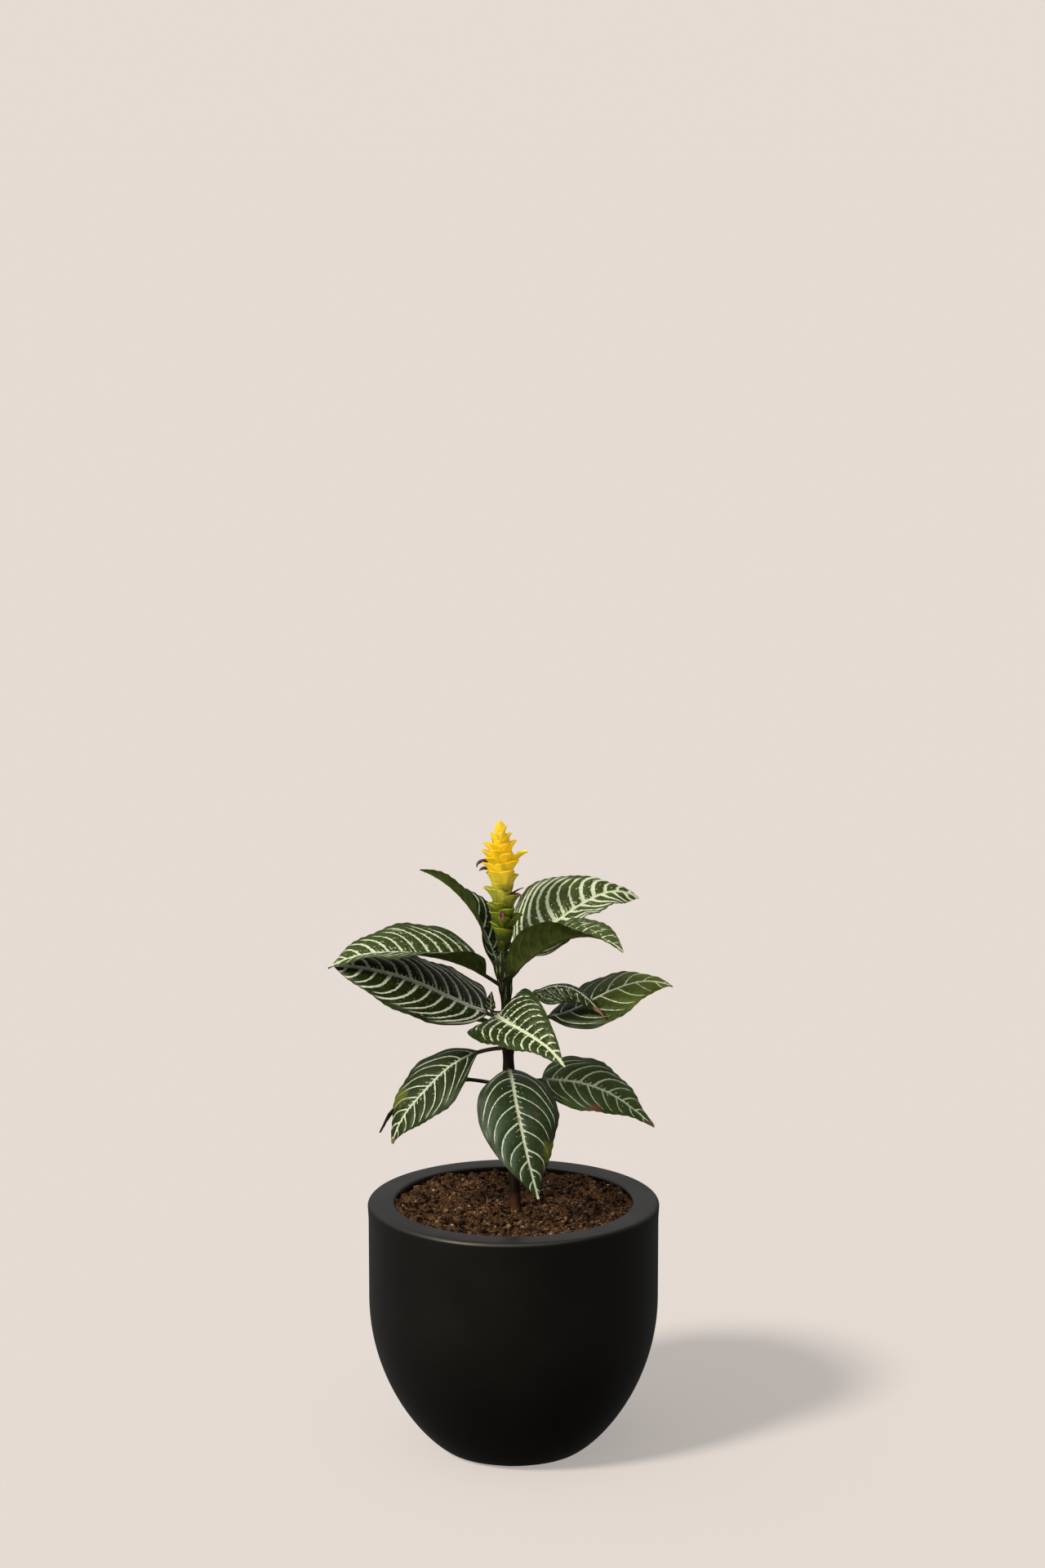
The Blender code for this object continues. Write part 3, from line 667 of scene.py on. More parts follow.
def new_group(name, inputs, outputs):
    """A shader node group with these named inputs (with their starting values) and outputs."""
    made = bpy.data.node_groups.new(name, "ShaderNodeTree")
    for title, kind, value in inputs:
        socket = made.interface.new_socket(title, in_out="INPUT", socket_type="NodeSocket" + kind)
        socket.default_value = value
    for title, kind in outputs:
        made.interface.new_socket(title, in_out="OUTPUT", socket_type="NodeSocket" + kind)
    return made, made.nodes.new("NodeGroupInput").outputs, made.nodes.new("NodeGroupOutput").inputs


def zebra_markings():
    """The leaf's colouring. The distance from the nearest side vein, from the attribute, is set against a
    band width that narrows towards the margin and is frayed by noise; the midrib and flecks are added."""
    tree, given, result = new_group(
        "Zebra markings",
        [
            ("Band", "Float", 1.2), ("Fray", "Float", 0.5), ("Reach", "Float", 0.9), ("Barbs", "Float", 0.5),
            ("Flecks", "Float", 0.0), ("Rib Foot", "Float", 2.0), ("Rib Tip", "Float", 1.0),
            ("Freshness", "Float", 0.3), ("Tip Freshness", "Float", 0.3), ("Seed", "Float", 0.0),
            ("Deep Green", "Color", (0.012, 0.021, 0.0035, 1)), ("Fresh Green", "Color", (0.062, 0.088, 0.006, 1)),
            ("Cream", "Color", (0.64, 0.69, 0.48, 1)),
        ],
        [("Color", "Color"), ("Cream Mask", "Float"), ("Height", "Float"), ("Roughness", "Float")],
    )
    vein = node(tree, "Attribute", set_attribute_name="vein").outputs["Vector"]
    place = node(tree, "Attribute", set_attribute_name="place").outputs["Vector"]
    vein, place = (node(tree, "SeparateXYZ", Vector=v).outputs for v in (vein, place))
    number, side, gap = vein[0], vein[1], vein[2]
    x, y, share = place[0], place[1], place[2]
    edge, off = maths(tree, "ABSOLUTE", side), maths(tree, "ABSOLUTE", y)

    def spread_noise(first, second, scale, detail=2.0):
        spot = node(tree, "CombineXYZ", X=first, Y=second, Z=given["Seed"]).outputs[0]
        return noise(tree, spot, scale, detail)

    whole = maths(tree, "ROUND", number)
    from_vein = maths(tree, "MULTIPLY", maths(tree, "ABSOLUTE", maths(tree, "SUBTRACT", number, whole)), gap)
    own = node(tree, "CombineXYZ", X=whole, Y=maths(tree, "SIGN", side), Z=given["Seed"]).outputs[0]
    luck = node(tree, "TexWhiteNoise", Vector=own).outputs["Value"]
    run = maths(tree, "MULTIPLY", number, 4.0)
    comb = spread_noise(maths(tree, "MULTIPLY", y, 1.1), maths(tree, "MULTIPLY", run, 0.5), 1.0)
    wander = spread_noise(x, y, 0.45, 3)
    fine = spread_noise(x, y, 2.2, 2)
    last = maths(tree, "ADD", given["Reach"], maths(tree, "MULTIPLY", maths(tree, "SUBTRACT", luck, 0.6), 0.12))
    going = ramp(tree, edge, maths(tree, "SUBTRACT", last, 0.12), last, 1, 0)
    narrowing = ramp(tree, edge, 0.0, 1.0, 1.15, 0.6)
    lively = ramp(tree, luck, 0.0, 1.0, 0.8, 1.2)
    band = maths(tree, "MULTIPLY", maths(tree, "MULTIPLY", given["Band"], narrowing), lively)
    frayed = maths(tree, "MULTIPLY", maths(tree, "SUBTRACT", comb, 0.5), given["Fray"])
    frayed = maths(tree, "MULTIPLY", frayed, ramp(tree, edge, 0.3, 1.0, 4.0, 1.5))
    half_band = maths(tree, "ADD", maths(tree, "MULTIPLY", band, 0.5), frayed)
    rough_edge = maths(tree, "MULTIPLY", maths(tree, "SUBTRACT", wander, 0.5), 0.5)
    inside = maths(tree, "SUBTRACT", maths(tree, "ADD", half_band, rough_edge), from_vein)
    stripe = maths(tree, "MULTIPLY", ramp(tree, inside, -0.16, 0.16), going)
    stripe = maths(tree, "MULTIPLY", stripe, ramp(tree, number, -3.6, -3.4))

    between = maths(tree, "PINGPONG", maths(tree, "ADD", maths(tree, "MULTIPLY", number, 3.0), 0.5), 0.5)
    short = maths(tree, "SUBTRACT", maths(tree, "MULTIPLY", given["Barbs"], ramp(tree, wander, 0.35, 0.7, 0.1, 0.5)), edge)
    thin = maths(tree, "SUBTRACT", 0.28, maths(tree, "MULTIPLY", maths(tree, "SUBTRACT", 0.5, between), maths(tree, "MULTIPLY", gap, 0.34)))
    barb = maths(tree, "MULTIPLY", ramp(tree, thin, -0.15, 0.15), ramp(tree, short, 0.0, 0.08))

    rib_half = maths(tree, "MULTIPLY", node(tree, "Mix", at0=share, at2=given["Rib Foot"], at3=given["Rib Tip"]).outputs[0], 0.5)
    rib_half = maths(tree, "ADD", rib_half, maths(tree, "MULTIPLY", maths(tree, "SUBTRACT", comb, 0.5), given["Fray"]))
    rib_half = maths(tree, "ADD", rib_half, maths(tree, "MULTIPLY", rough_edge, 0.5))
    rib = ramp(tree, maths(tree, "SUBTRACT", rib_half, off), -0.15, 0.2)

    dashes = spread_noise(maths(tree, "MULTIPLY", number, 6.0), maths(tree, "MULTIPLY", y, 0.55), 1.0, 3)
    crowd = maths(tree, "MULTIPLY", given["Flecks"], ramp(tree, wander, 0.3, 0.7, 0.6, 1.2))
    fleck = ramp(tree, maths(tree, "ADD", dashes, maths(tree, "MULTIPLY", crowd, 0.3)), 0.70, 0.76)
    fleck = maths(tree, "MULTIPLY", fleck, ramp(tree, edge, 0.85, 0.97, 1, 0))

    cream = maths(tree, "MAXIMUM", maths(tree, "MAXIMUM", stripe, barb), maths(tree, "MAXIMUM", rib, fleck))
    cream = maths(tree, "MULTIPLY", cream, ramp(tree, x, 0.0, 5.0))
    fresh = node(tree, "Mix", at0=share, at2=given["Freshness"], at3=given["Tip Freshness"]).outputs[0]
    fresh = maths(tree, "ADD", fresh, maths(tree, "SUBTRACT", wander, 0.5))
    green = blended(tree, maths(tree, "MINIMUM", maths(tree, "MAXIMUM", fresh, 0.0), 1.0), given["Deep Green"], given["Fresh Green"])
    mottle = node(tree, "HueSaturation", Color=green, Value=ramp(tree, fine, 0.25, 0.75, 0.75, 1.3)).outputs[0]
    foot_rib = maths(tree, "MULTIPLY", ramp(tree, share, 0.02, 0.22, 1, 0), ramp(tree, off, 0.3, 1.4, 1, 0))
    pale = blended(tree, maths(tree, "MULTIPLY", foot_rib, 0.75), given["Cream"], (0.17, 0.15, 0.10))
    pale = blended(tree, ramp(tree, fine, 0.3, 0.8, 0.0, 0.35), pale, given["Fresh Green"])
    colour = blended(tree, cream, mottle, pale)
    colour = blended(tree, ramp(tree, edge, 0.975, 0.995), colour, (0.035, 0.04, 0.012))
    stalk = blended(tree, ramp(tree, wander, 0.3, 0.7), (0.035, 0.024, 0.015), (0.085, 0.062, 0.040))
    colour = blended(tree, ramp(tree, x, -5.0, 3.0), stalk, colour)
    tree.links.new(colour, result["Color"])
    tree.links.new(cream, result["Cream Mask"])
    tree.links.new(maths(tree, "ADD", maths(tree, "MULTIPLY", fine, 0.5), maths(tree, "MULTIPLY", stripe, -0.5)), result["Height"])
    tree.links.new(ramp(tree, wander, 0.3, 0.7, 0.34, 0.46), result["Roughness"])
    return tree


markings = zebra_markings()


def leaf_finishes(name, seed, values, blemishes, gloss):
    """The upper and lower finish of one leaf. values are the markings' own values for this leaf, and each
    blemish is (mm along, mm across, radius in mm, colour, strength). gloss is the upper face's shine."""
    upper, tree, shader = paint(name + " face", (0.03, 0.05, 0.01), 0.4)
    made = tree.nodes.new("ShaderNodeGroup")
    made.node_tree = markings
    made.inputs["Seed"].default_value = seed * 7.3
    for title, value in values.items():
        made.inputs[title.replace("_", " ")].default_value = (*value, 1) if isinstance(value, tuple) else value
    colour = made.outputs["Color"]
    place = node(tree, "Attribute", set_attribute_name="place").outputs["Vector"]
    for along, across, radius, tint, strength in blemishes:
        away = node(tree, "VectorMath", set_operation="SUBTRACT", at0=place, at1=(along, across, 0)).outputs[0]
        flat = node(tree, "VectorMath", set_operation="MULTIPLY", at0=away, at1=(1, 1, 0)).outputs[0]
        far = node(tree, "VectorMath", set_operation="LENGTH", at0=flat).outputs["Value"]
        torn = maths(tree, "MULTIPLY", maths(tree, "SUBTRACT", noise(tree, place, 0.5, 3), 0.5), radius * 1.6)
        mask = ramp(tree, maths(tree, "ADD", far, torn), radius * 0.55, radius, strength, 0)
        colour = blended(tree, mask, colour, tint)
    tree.links.new(colour, shader.inputs["Base Color"])
    tree.links.new(made.outputs["Roughness"], shader.inputs["Roughness"])
    shader.inputs["Specular IOR Level"].default_value = gloss
    shader.inputs["Specular Tint"].default_value = (0.9, 1.0, 0.45 + gloss, 1)
    relief = node(tree, "Bump", Strength=0.35, Distance=0.0003, Height=made.outputs["Height"])
    tree.links.new(relief.outputs[0], shader.inputs["Normal"])

    lower, tree, shader = paint(name + " underside", (0.06, 0.07, 0.03), 0.55)
    made = tree.nodes.new("ShaderNodeGroup")
    made.node_tree = markings
    made.inputs["Seed"].default_value = seed * 7.3
    for title, value in (("Band", 0.6), ("Fray", 0.1), ("Rib Foot", 1.4), ("Rib Tip", 0.5), ("Barbs", 0.0)):
        made.inputs[title].default_value = value
    place = node(tree, "Attribute", set_attribute_name="place").outputs["Vector"]
    cloud = noise(tree, place, 0.12, 3)
    olive = blended(tree, ramp(tree, cloud, 0.3, 0.7), (0.028, 0.042, 0.004), (0.050, 0.066, 0.010))
    olive = blended(tree, maths(tree, "MULTIPLY", made.outputs["Cream Mask"], 0.2), olive, (0.16, 0.18, 0.06))
    along = node(tree, "SeparateXYZ", Vector=place).outputs[0]
    olive = blended(tree, ramp(tree, along, -6.0, 4.0), (0.026, 0.014, 0.010), olive)
    tree.links.new(olive, shader.inputs["Base Color"])
    shader.inputs["Specular IOR Level"].default_value = 0.15
    relief = node(tree, "Bump", Strength=0.3, Distance=0.0003, Height=made.outputs["Height"])
    tree.links.new(relief.outputs[0], shader.inputs["Normal"])
    return upper, lower


def leaf(name, height, heading, pitch, petiole, blade, half, roll, fold, curl, shape=LEAF_SHAPE,
         stalk=PETIOLE, wing=0.1, veins=(10, 0.9, 0.8, 0.9), puff=0.9, blemishes=(), gloss=0.2, replaced=True, **values):
    """One leaf as its own piece, which takes the place of the solid of the same name. Its height above the
    floor also seeds its noise, and values are the inputs of its markings, with _ for a space."""
    form = (petiole, blade, half, roll, fold, curl, shape, stalk, wing, veins, puff)
    mesh = leaf_mesh(height, heading, pitch, *form)
    points, faces, slots, patterns = mesh
    finishes = leaf_finishes(name.replace("_", " "), height, values, blemishes, gloss)
    made = mesh_piece(name + "_blade", points, faces, finishes, slots, patterns)
    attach(made, "root")
    if replaced:
        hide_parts(name)


# The four upper leaves are the youngest: paler, with broad cream bands and many flecks.
PALE = (0.66, 0.70, 0.48)
leaf("leaf_top_right", 332, (20, 20, 20, 18, 15), (52, 46, 33, 23, -34), 21, 95, (37, 24),
     roll=(26, 22, 36), fold=(-8, 29, 8), curl=-12, shape=((0.62, 1.6), (0.55, 0.8)), wing=1.6, veins=(12, 0.95, 0.2, 0.9),
     Band=2.1, Fray=0.7, Reach=0.99, Flecks=0.2, Rib_Foot=3.0, Rib_Tip=2.0, Freshness=0.35,
     Tip_Freshness=0.5, Cream=PALE)
leaf("leaf_upper_right", 329, (-40, -41, -42, -42, -40), (44, 41, 33, 12, -28), 9, 109, (20, 20),
     roll=(-10, -8, 5), fold=(60, 52, 10), curl=-12, shape=((0.9, 0.95), (0.65, 1.15)), wing=1.6, veins=(11, 0.95, 0.5, 0.8),
     Band=0.7, Fray=0.7, Reach=0.85, Barbs=0.2, Flecks=0.3, Rib_Foot=1.6, Rib_Tip=1.0, Freshness=0.3,
     Tip_Freshness=0.6, Cream=PALE)
leaf("leaf_top_left", 328, (145, 150, 160, 165, 170), (50, 71, 60, 42, 18), 13, 87, (12.5, 18),
     roll=(-22, 8, 50), fold=(0, 45, 30), curl=-15, shape=((0.8, 0.95), (0.7, 1.6)), wing=1.6,
     veins=(11, 0.95, 0.8, 0.9),
     Band=0.9, Fray=0.4, Rib_Foot=1.6, Freshness=0.0, Tip_Freshness=0.1)
leaf("leaf_upper_left", 323.5, (190, 190, 190, 188, 185), (38, 33, 13, -1, -28), 17, 112, (34, 33),
     roll=(4, -9, -10), fold=(40, 23, 14), curl=-10, shape=((0.6, 1.15), (0.7, 1.05)), veins=(12, 0.95, 0.45, 0.8),
     Band=1.5, Fray=0.7, Flecks=0.22, Rib_Foot=2.6, Rib_Tip=2.2, Freshness=0.15, Tip_Freshness=0.5, Cream=PALE)

# The four middle leaves are full grown, with clear bands.
leaf("leaf_middle_left", 304.5, (195, 193, 188, 182, 178), (0, 24, 28, 15, 2), 14, 112, (32, 36),
     roll=(-28, -28, -25), fold=(2, 2, 2), curl=-15, shape=((0.8, 0.95), (0.22, 0.85)), veins=(12, 0.9, 0.3, 0.9),
     Band=1.8, Fray=0.6, Reach=0.97, Flecks=0.1, Rib_Foot=3.8, Rib_Tip=3.2, Freshness=0.0, Tip_Freshness=0.1,
     Cream=(0.74, 0.74, 0.58))
leaf("leaf_front", 306.5, (-150, -82, -52, -50, -50), (10, 5, -8, -14, -36), 16, 86, (27, 26),
     roll=(34, 34, 30), fold=(22, 22, 22), curl=-15, shape=((0.35, 1.3), (0.3, 1.1)), veins=(12, 0.95, 0.3, 0.7),
     Band=1.1, Fray=0.8, Flecks=0.15, Rib_Foot=3.2, Rib_Tip=2.2, Freshness=0.0, Tip_Freshness=0.3, Cream=PALE)
leaf("leaf_curled", 307, (5, -5, -15, -20, -20), (33, 38, 3, -38, -50), 22, 59, (12, 13),
     roll=(25, 25, 20), fold=(-25, -25, -25), curl=-20, shape=((0.75, 1.3), (0.5, 1.4)), veins=(8, 0.9, 0.8, 0.9),
     Band=0.15, Fray=0.25, Barbs=0.1, Flecks=0.3, Rib_Foot=0.6, Freshness=-0.5, Tip_Freshness=-0.5,
     blemishes=[(57, 0, 9, (0.30, 0.12, 0.08), 0.95)])
leaf("leaf_middle_right", 301, (8, 8, 6, 4, 4), (-3, 11, 29, 16, -25), 29, 90, (22, 25),
     roll=(26, 26, 22), fold=(-4, -4, -4), curl=-10, shape=((0.85, 1.15), (0.85, 1.15)), veins=(7.5, 0.85, 0.6, 0.9),
     Band=0.8, Fray=0.25, Barbs=0.2, Rib_Foot=1.8, Rib_Tip=1.3, Freshness=-0.4, Tip_Freshness=1.0, Fresh_Green=(0.10, 0.125, 0.006),
     blemishes=[(90, 0, 3, (0.10, 0.045, 0.02), 0.9)])

# The four lower leaves are the oldest: a cooler, darker green, with thin veins and brown tips. Their green is greyed,
# partly as their own older colour and partly as a painted sheen.
DEEP_WITH_SHEEN, FRESH_WITH_SHEEN = (0.017, 0.031, 0.008), (0.056, 0.084, 0.013)
leaf("leaf_lower_left", 282.5, (190, 195, 200, 200, 200), (2, -13, -40, -47, -76), 21, 88, (25, 23),
     roll=(-22, -24, -20), fold=(2, 2, 2), curl=-10, shape=((1.0, 1.2), (0.85, 1.15)), veins=(9, 0.9, 0.6, 1.0),
     Band=0.8, Fray=0.3, Rib_Foot=1.6, Rib_Tip=1.1, Freshness=-0.25, Tip_Freshness=0.15,
     blemishes=[(60, -14, 9, (0.12, 0.14, 0.008), 0.6), (88, 0, 5, (0.13, 0.07, 0.02), 0.9)])
leaf("leaf_behind_left", 254.5, (170, 168, 165, 162, 160), (15, 2, -24, -44, -64), 28, 82, (18, 18),
     roll=(0, 0, 0), fold=(10, 10, 10), curl=-20, veins=(9, 0.9, 0.8, 0.9), Band=0.8, Fray=0.2, Freshness=0.1)
leaf("leaf_hanging", 267, (-88, -86, -80, -66, -48), (20, 5, -40, -60, -65), 8, 108, (30, 27.5),
     roll=(0, 0, 0), fold=(8, 8, 8), curl=-35, shape=((0.75, 1.1), (0.9, 1.15)), veins=(8.5, 0.9, 0.55, 1.1),
     Band=0.9, Fray=0.3, Rib_Foot=2.4, Rib_Tip=1.6, Freshness=-0.05, Tip_Freshness=0.2,
     Deep_Green=DEEP_WITH_SHEEN, Fresh_Green=FRESH_WITH_SHEEN, gloss=0.45,
     blemishes=[(50, 12.5, 2.0, (0.10, 0.02, 0.01), 0.7),
                (53, -1, 2.6, (0.20, 0.13, 0.05), 0.6), (88, 11, 2.4, (0.22, 0.09, 0.02), 0.7),
                (78, 19, 9, (0.14, 0.14, 0.01), 0.7)])
leaf("leaf_lower_right", 255.5, (-10, -8, -5, -5, -5), (20, 6, -13, -34, -44), 23, 86, (28, 23),
     roll=(30, 30, 25), fold=(0, 0, 0), curl=-10, shape=((0.5, 1.15), (0.65, 1.4)), veins=(8.5, 0.85, 0.5, 0.9),
     Band=1.0, Fray=0.3, Rib_Foot=2.0, Rib_Tip=1.1, Freshness=0.6, Tip_Freshness=0.6,
     Deep_Green=DEEP_WITH_SHEEN, Fresh_Green=FRESH_WITH_SHEEN, gloss=0.25, blemishes=[(43, -19, 6, (0.17, 0.05, 0.02), 0.85), (82, 0, 4, (0.11, 0.05, 0.02), 0.9)])

# Two small young leaves stand in the angle of the middle left leaf's stalk.
leaf("leaf_shoot", 308.5, (190, 180, 80, 70, 70), (-20, 12, 76, 78, 80), 8.6, 15, (4, 4),
     roll=(0, 0, 0), fold=(10, 20, 20), curl=15, stalk=0.8, veins=(5, 1, 0.5, 0.5), puff=0.3,
     Band=0.5, Fray=0.1, Rib_Foot=1.0, Rib_Tip=0.8)
leaf("leaf_bud", 305.5, (192, 190, 188, 186, 186), (-18, -12, 4, 14, 10), 12, 14, (3.2, 3.2),
     roll=(0, 0, 0), fold=(10, 30, 20), curl=15, stalk=0.7, veins=(5, 1, 0.5, 0.5), puff=0.3, replaced=False,
     Band=0.5, Fray=0.1, Rib_Foot=1.0, Rib_Tip=0.8)


# The flower spike: overlapping pointed bracts set round a short core, green at the foot and golden yellow
# above. A few withered brown florets hang between them.

BRACT = 0.5


def bract_grid(height, heading, length, half, lean, root):
    """Rings of a cupped pointed bract. Its pitch eases from the first lean at the foot to the second at the
    tip, its outline is r^0.9 (1 - r)^0.7 for r = 0.12 + 0.88 s, and its halves lean inwards and curl."""
    stations = np.array((0, length / 3, length * 2 / 3, length))
    pitch = (lean[0], lean[0] * 0.8 + lean[1] * 0.2, lean[0] * 0.45 + lean[1] * 0.55, lean[1])
    s = np.linspace(0, 1, 20)[:, None]
    line = rib_line(s[:, 0] * length, stations, pitch, (heading,) * 4)
    t = np.linspace(-1, 1, 15)[None, :]
    width = np.hypot(half * outline(0.12 + 0.88 * s, 0.9, 0.7), 0.25) + 0 * t
    cup = np.radians(28 - 13 * s)
    ribs = 0.12 * np.cos(t * 14) * (1 - t**2)
    keel = 0.35 * np.exp(-((t / 0.12) ** 2)) * (1 - s)
    thin = BRACT / 2 * (1 - 0.6 * t**8) + 0 * s
    rings = sheet_rings(line, t[0], width, cup, np.radians(25), ribs + 0 * s, thin, thin + keel)
    ends = [rings[k].mean(0) + np.zeros((1, 30, 3)) for k in (0, -1)]
    way = math.radians(heading)
    rings = np.concatenate([ends[0], rings, ends[1]])
    rings += (stem_x(height) + root * math.cos(way), root * math.sin(way), height)
    place = np.stack([s + 0 * t, t + 0 * s, 0 * s + 0 * t + height + heading / 100], -1)
    place = np.concatenate([place, place[:, ::-1]], 1)
    return rings * MM, np.concatenate([place[:1], place, place[-1:]])


def core_grid(heights, radii, sides=30):
    """The spike's core: a round column through rows of height and radius, closed at both ends."""
    fine = np.linspace(heights[0], heights[-1], 40)
    profile = np.stack([np.interp(fine, heights, radii), fine], 1)
    profile = np.concatenate([[(0, fine[0])], profile, [(0, fine[-1])]])
    grid = turned(profile, sides)
    grid[..., 0] += stem_x(grid[..., 2])
    return grid * MM, np.zeros_like(grid)


def joined(grids):
    """Points, faces and values of several closed grids in one mesh."""
    points, faces, values, count = [], [], [], 0
    for grid, value in grids:
        points.append(grid.reshape(-1, 3))
        values.append(value.reshape(-1, 3))
        faces.append(grid_faces(*grid.shape[:2], True)[:, ::-1] + count)
        count += len(points[-1])
    return np.concatenate(points), np.concatenate(faces), np.concatenate(values)


bract_skin, tree, shader = paint("bract skin", (0.8, 0.5, 0.02), 0.42)
place = node(tree, "Attribute", set_attribute_name="place").outputs["Vector"]
place = node(tree, "SeparateXYZ", Vector=place).outputs
rise = node(tree, "SeparateXYZ", Vector=here(tree)).outputs["Z"]
cloud = noise(tree, here(tree), 90, 3)
level = maths(tree, "ADD", rise, maths(tree, "MULTIPLY", maths(tree, "SUBTRACT", cloud, 0.5), 0.012))
level = maths(tree, "ADD", level, maths(tree, "MULTIPLY", place[0], -0.004))
colour = blended(tree, ramp(tree, level, 0.350, 0.376), (0.035, 0.062, 0.002), (0.13, 0.17, 0.005))
# Painted light: the tips of the green bracts are painted paler and yellower, as where light catches them.
painted_lit_tips = maths(tree, "MULTIPLY", ramp(tree, place[0], 0.45, 1.0, 0, 0.6), ramp(tree, rise, 0.352, 0.366))
colour = blended(tree, painted_lit_tips, colour, (0.42, 0.48, 0.02))
colour = blended(tree, ramp(tree, level, 0.376, 0.393), colour, (0.60, 0.56, 0.05))
colour = blended(tree, ramp(tree, level, 0.390, 0.407), colour, (0.93, 0.65, 0.010))
colour = blended(tree, ramp(tree, level, 0.41, 0.436), colour, (0.95, 0.69, 0.03))
# Painted shade: each bract is darker and more orange towards its foot, where the tip of the bract below overlaps and
# shades it.
foot = ramp(tree, place[0], 0.1, 0.45, 0.6, 0)
colour = blended(tree, foot, colour, node(tree, "HueSaturation", Color=colour, Hue=0.485, Value=0.6).outputs[0])
fine = node(tree, "CombineXYZ", X=maths(tree, "MULTIPLY", place[1], 16), Y=place[0], Z=place[2]).outputs[0]
lines = noise(tree, fine, 1.0, 2)
colour = node(tree, "HueSaturation", Color=colour, Value=ramp(tree, lines, 0.3, 0.7, 0.86, 1.1)).outputs[0]
own = node(tree, "TexWhiteNoise", set_noise_dimensions="1D", W=place[2]).outputs["Value"]
dried = maths(tree, "MULTIPLY", ramp(tree, own, 0.62, 0.68), ramp(tree, place[0], 0.86, 0.96))
dried = maths(tree, "MULTIPLY", dried, ramp(tree, rise, 0.396, 0.400, 1, 0))
tree.links.new(blended(tree, dried, colour, (0.05, 0.016, 0.010)), shader.inputs["Base Color"])
# Painted light: the yellow bracts glow faintly in their own colour, which brightens them also where they are in shade.
painted_glow = blended(tree, maths(tree, "MULTIPLY", ramp(tree, level, 0.385, 0.405), maths(tree, "SUBTRACT", 1.0, dried)),
               (0, 0, 0), colour)
tree.links.new(painted_glow, shader.inputs["Emission Color"])
shader.inputs["Emission Strength"].default_value = 0.09
relief = node(tree, "Bump", Strength=0.3, Distance=0.0003, Height=lines)
tree.links.new(relief.outputs[0], shader.inputs["Normal"])
shader.inputs["Subsurface Weight"].default_value = 0.25
shader.inputs["Subsurface Radius"].default_value = (0.004, 0.003, 0.001)

green_bracts = [
    (349.5, -85, 9, 6, (76, 50), 1.8), (353, 60, 14, 8, (80, 60), 2.4), (355, 125, 15, 8, (82, 60), 2.4),
    (353, -125, 16, 8.5, (76, 52), 2.8), (353, -48, 15, 8, (78, 50), 2.6), (362, 90, 15, 8, (80, 58), 3.6),
    (358, 180, 14, 8, (74, 50), 3.4), (362, 4, 16, 9, (70, 38), 4.6), (365, -135, 16, 8.5, (74, 42), 4.6),
    (369, -62, 14, 7.5, (76, 42), 4.8), (368, 50, 14, 7.5, (80, 56), 4.8), (371, 130, 14, 7.5, (80, 54), 4.8),
    (364, -92, 13, 6.5, (76, 48), 4.4), (374, -108, 13, 6.5, (76, 40), 5.2), (377, 85, 14, 7.5, (80, 54), 5.2),
    (379, -40, 13, 7, (76, 44), 5.4), (372, 184, 13, 7, (74, 46), 5.0), (375, 10, 14, 7, (76, 50), 5.2),
    (383, 186, 14, 7, (70, 34), 5.2), (382, -78, 14, 7, (76, 46), 5.6), (384, 50, 14, 7, (80, 56), 5.4),
    (385, 120, 14, 7, (80, 56), 5.4), (383, -135, 13, 7, (76, 44), 5.5), (388, -105, 12, 6.5, (78, 48), 5.8),
]
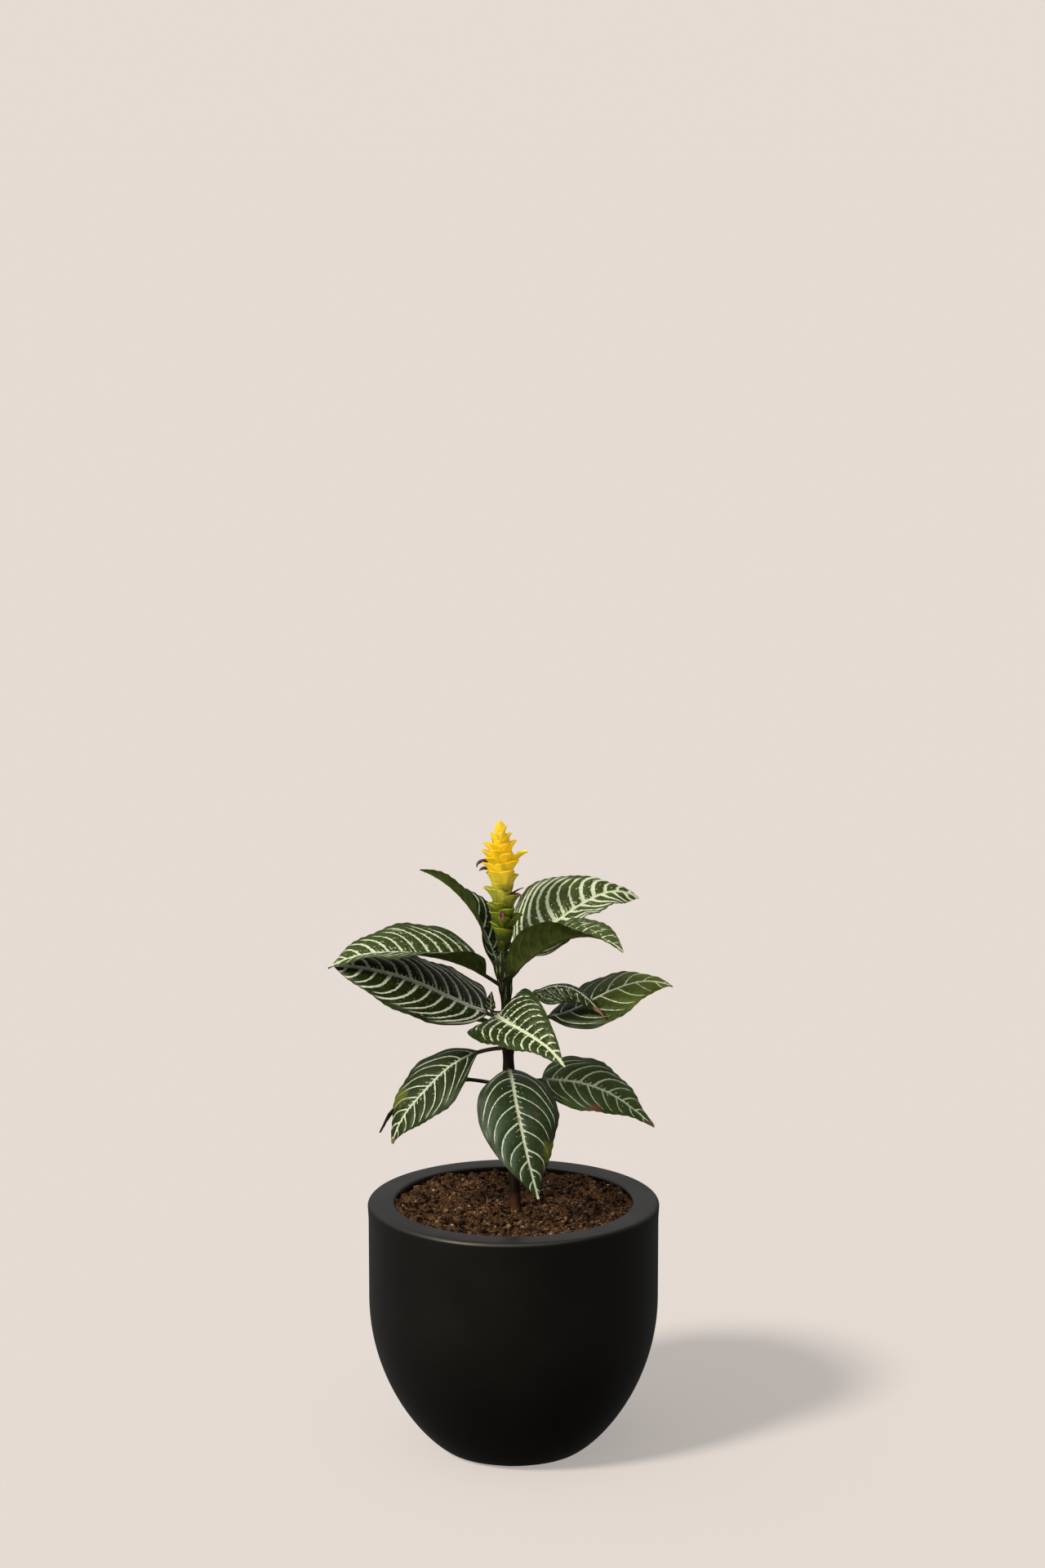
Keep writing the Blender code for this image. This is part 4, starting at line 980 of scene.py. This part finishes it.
yellow_bracts = [
    (391.5, 2, 13, 7, (76, 44), 5.6), (391.5, -130, 17, 8, (78, 54), 5.6), (392, -58, 17, 8.5, (78, 56), 5.6),
    (393, 184, 13, 7, (78, 50), 5.6), (393, 90, 16, 9, (80, 60), 5.2), (396, -92, 18, 8, (80, 56), 5.8),
    (406, 188, 17, 6.5, (72, 36), 4.8), (404, -14, 21, 7, (66, 26), 5.2), (402, -132, 18, 8, (70, 36), 5.8),
    (399, 30, 17, 8, (74, 44), 5.6), (398, 205, 17, 8, (72, 42), 5.8), (399, -38, 18, 8, (72, 42), 5.8),
    (403, 60, 17, 8, (80, 58), 5.2), (402, 130, 17, 8, (80, 58), 5.2), (405, -62, 17, 7.5, (74, 42), 5.8),
    (406, -108, 18, 7.5, (76, 46), 5.6), (411, 172, 16, 6.5, (74, 40), 4.4), (412, 5, 16, 6.5, (78, 50), 4.6),
    (410, 95, 15, 7, (82, 62), 4.6), (413, -60, 14, 5.8, (80, 52), 4.4), (413, -138, 14, 6, (78, 48), 4.4),
    (415, -92, 14, 5.5, (82, 58), 4.2), (415, 45, 13, 5.5, (82, 58), 4.0), (416, 135, 13, 5.5, (80, 56), 4.0),
    (420, 184, 13, 5, (80, 54), 3.0), (420, 0, 13, 5.4, (79, 50), 3.0), (421, -75, 13, 5, (82, 62), 3.0),
    (421, -125, 12, 4.6, (82, 60), 2.8), (421, 90, 13, 5, (84, 66), 3.0), (426, 180, 10, 3.8, (82, 60), 1.6),
    (426, 5, 11, 3.8, (82, 60), 1.6), (427.5, -100, 12.6, 4.2, (90, 86), 0.8),
]

for name, replaced, slot, core, rows in (
    ("lower_bracts", "spike_green", "green_bracts",
     ((349.4, 354, 360, 368, 378, 388, 391), (2.0, 3.0, 4.2, 5.2, 6.0, 6.2, 6.0)), green_bracts),
    ("upper_bracts", "spike_yellow", "yellow_bracts",
     ((391.3, 394, 400, 410, 420, 430, 435), (6.0, 6.2, 6.2, 5.6, 4.2, 2.4, 0.6)), yellow_bracts),
):
    points, faces, values = joined([core_grid(*core)] + [bract_grid(*row) for row in rows])
    made = mesh_piece(name, points, faces, [bract_skin], values={"place": values})
    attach(made, "root")
    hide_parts(replaced)

# The florets that have faded: thin, dry and curled, brown with paler tips.
floret_rows = [
    (407, 187, 14, 3.2, (66, -78), 6.2), (408, 178, 10, 2.6, (56, -20), 6.4), (405, 196, 10, 2.8, (36, -30), 6.0),
    (389.5, -38, 12, 2.0, (20, -34), 6.2), (389.5, -28, 12, 1.4, (34, 26), 6.2), (379, -92, 9, 1.8, (-10, -84), 8.0),
]
withered, tree, shader = paint("withered florets", (0.12, 0.045, 0.02), 0.7)
place = node(tree, "Attribute", set_attribute_name="place").outputs["Vector"]
along = node(tree, "SeparateXYZ", Vector=place).outputs[0]
cloud = noise(tree, here(tree), 500, 3)
colour = blended(tree, ramp(tree, cloud, 0.35, 0.65), (0.030, 0.008, 0.005), (0.16, 0.050, 0.020))
colour = blended(tree, ramp(tree, along, 0.6, 1.0, 0, 0.6), colour, (0.24, 0.12, 0.07))
tree.links.new(colour, shader.inputs["Base Color"])
points, faces, values = joined([bract_grid(*row) for row in floret_rows])
florets = mesh_piece("withered_florets", points, faces, [withered], values={"place": values})
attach(florets, "root")
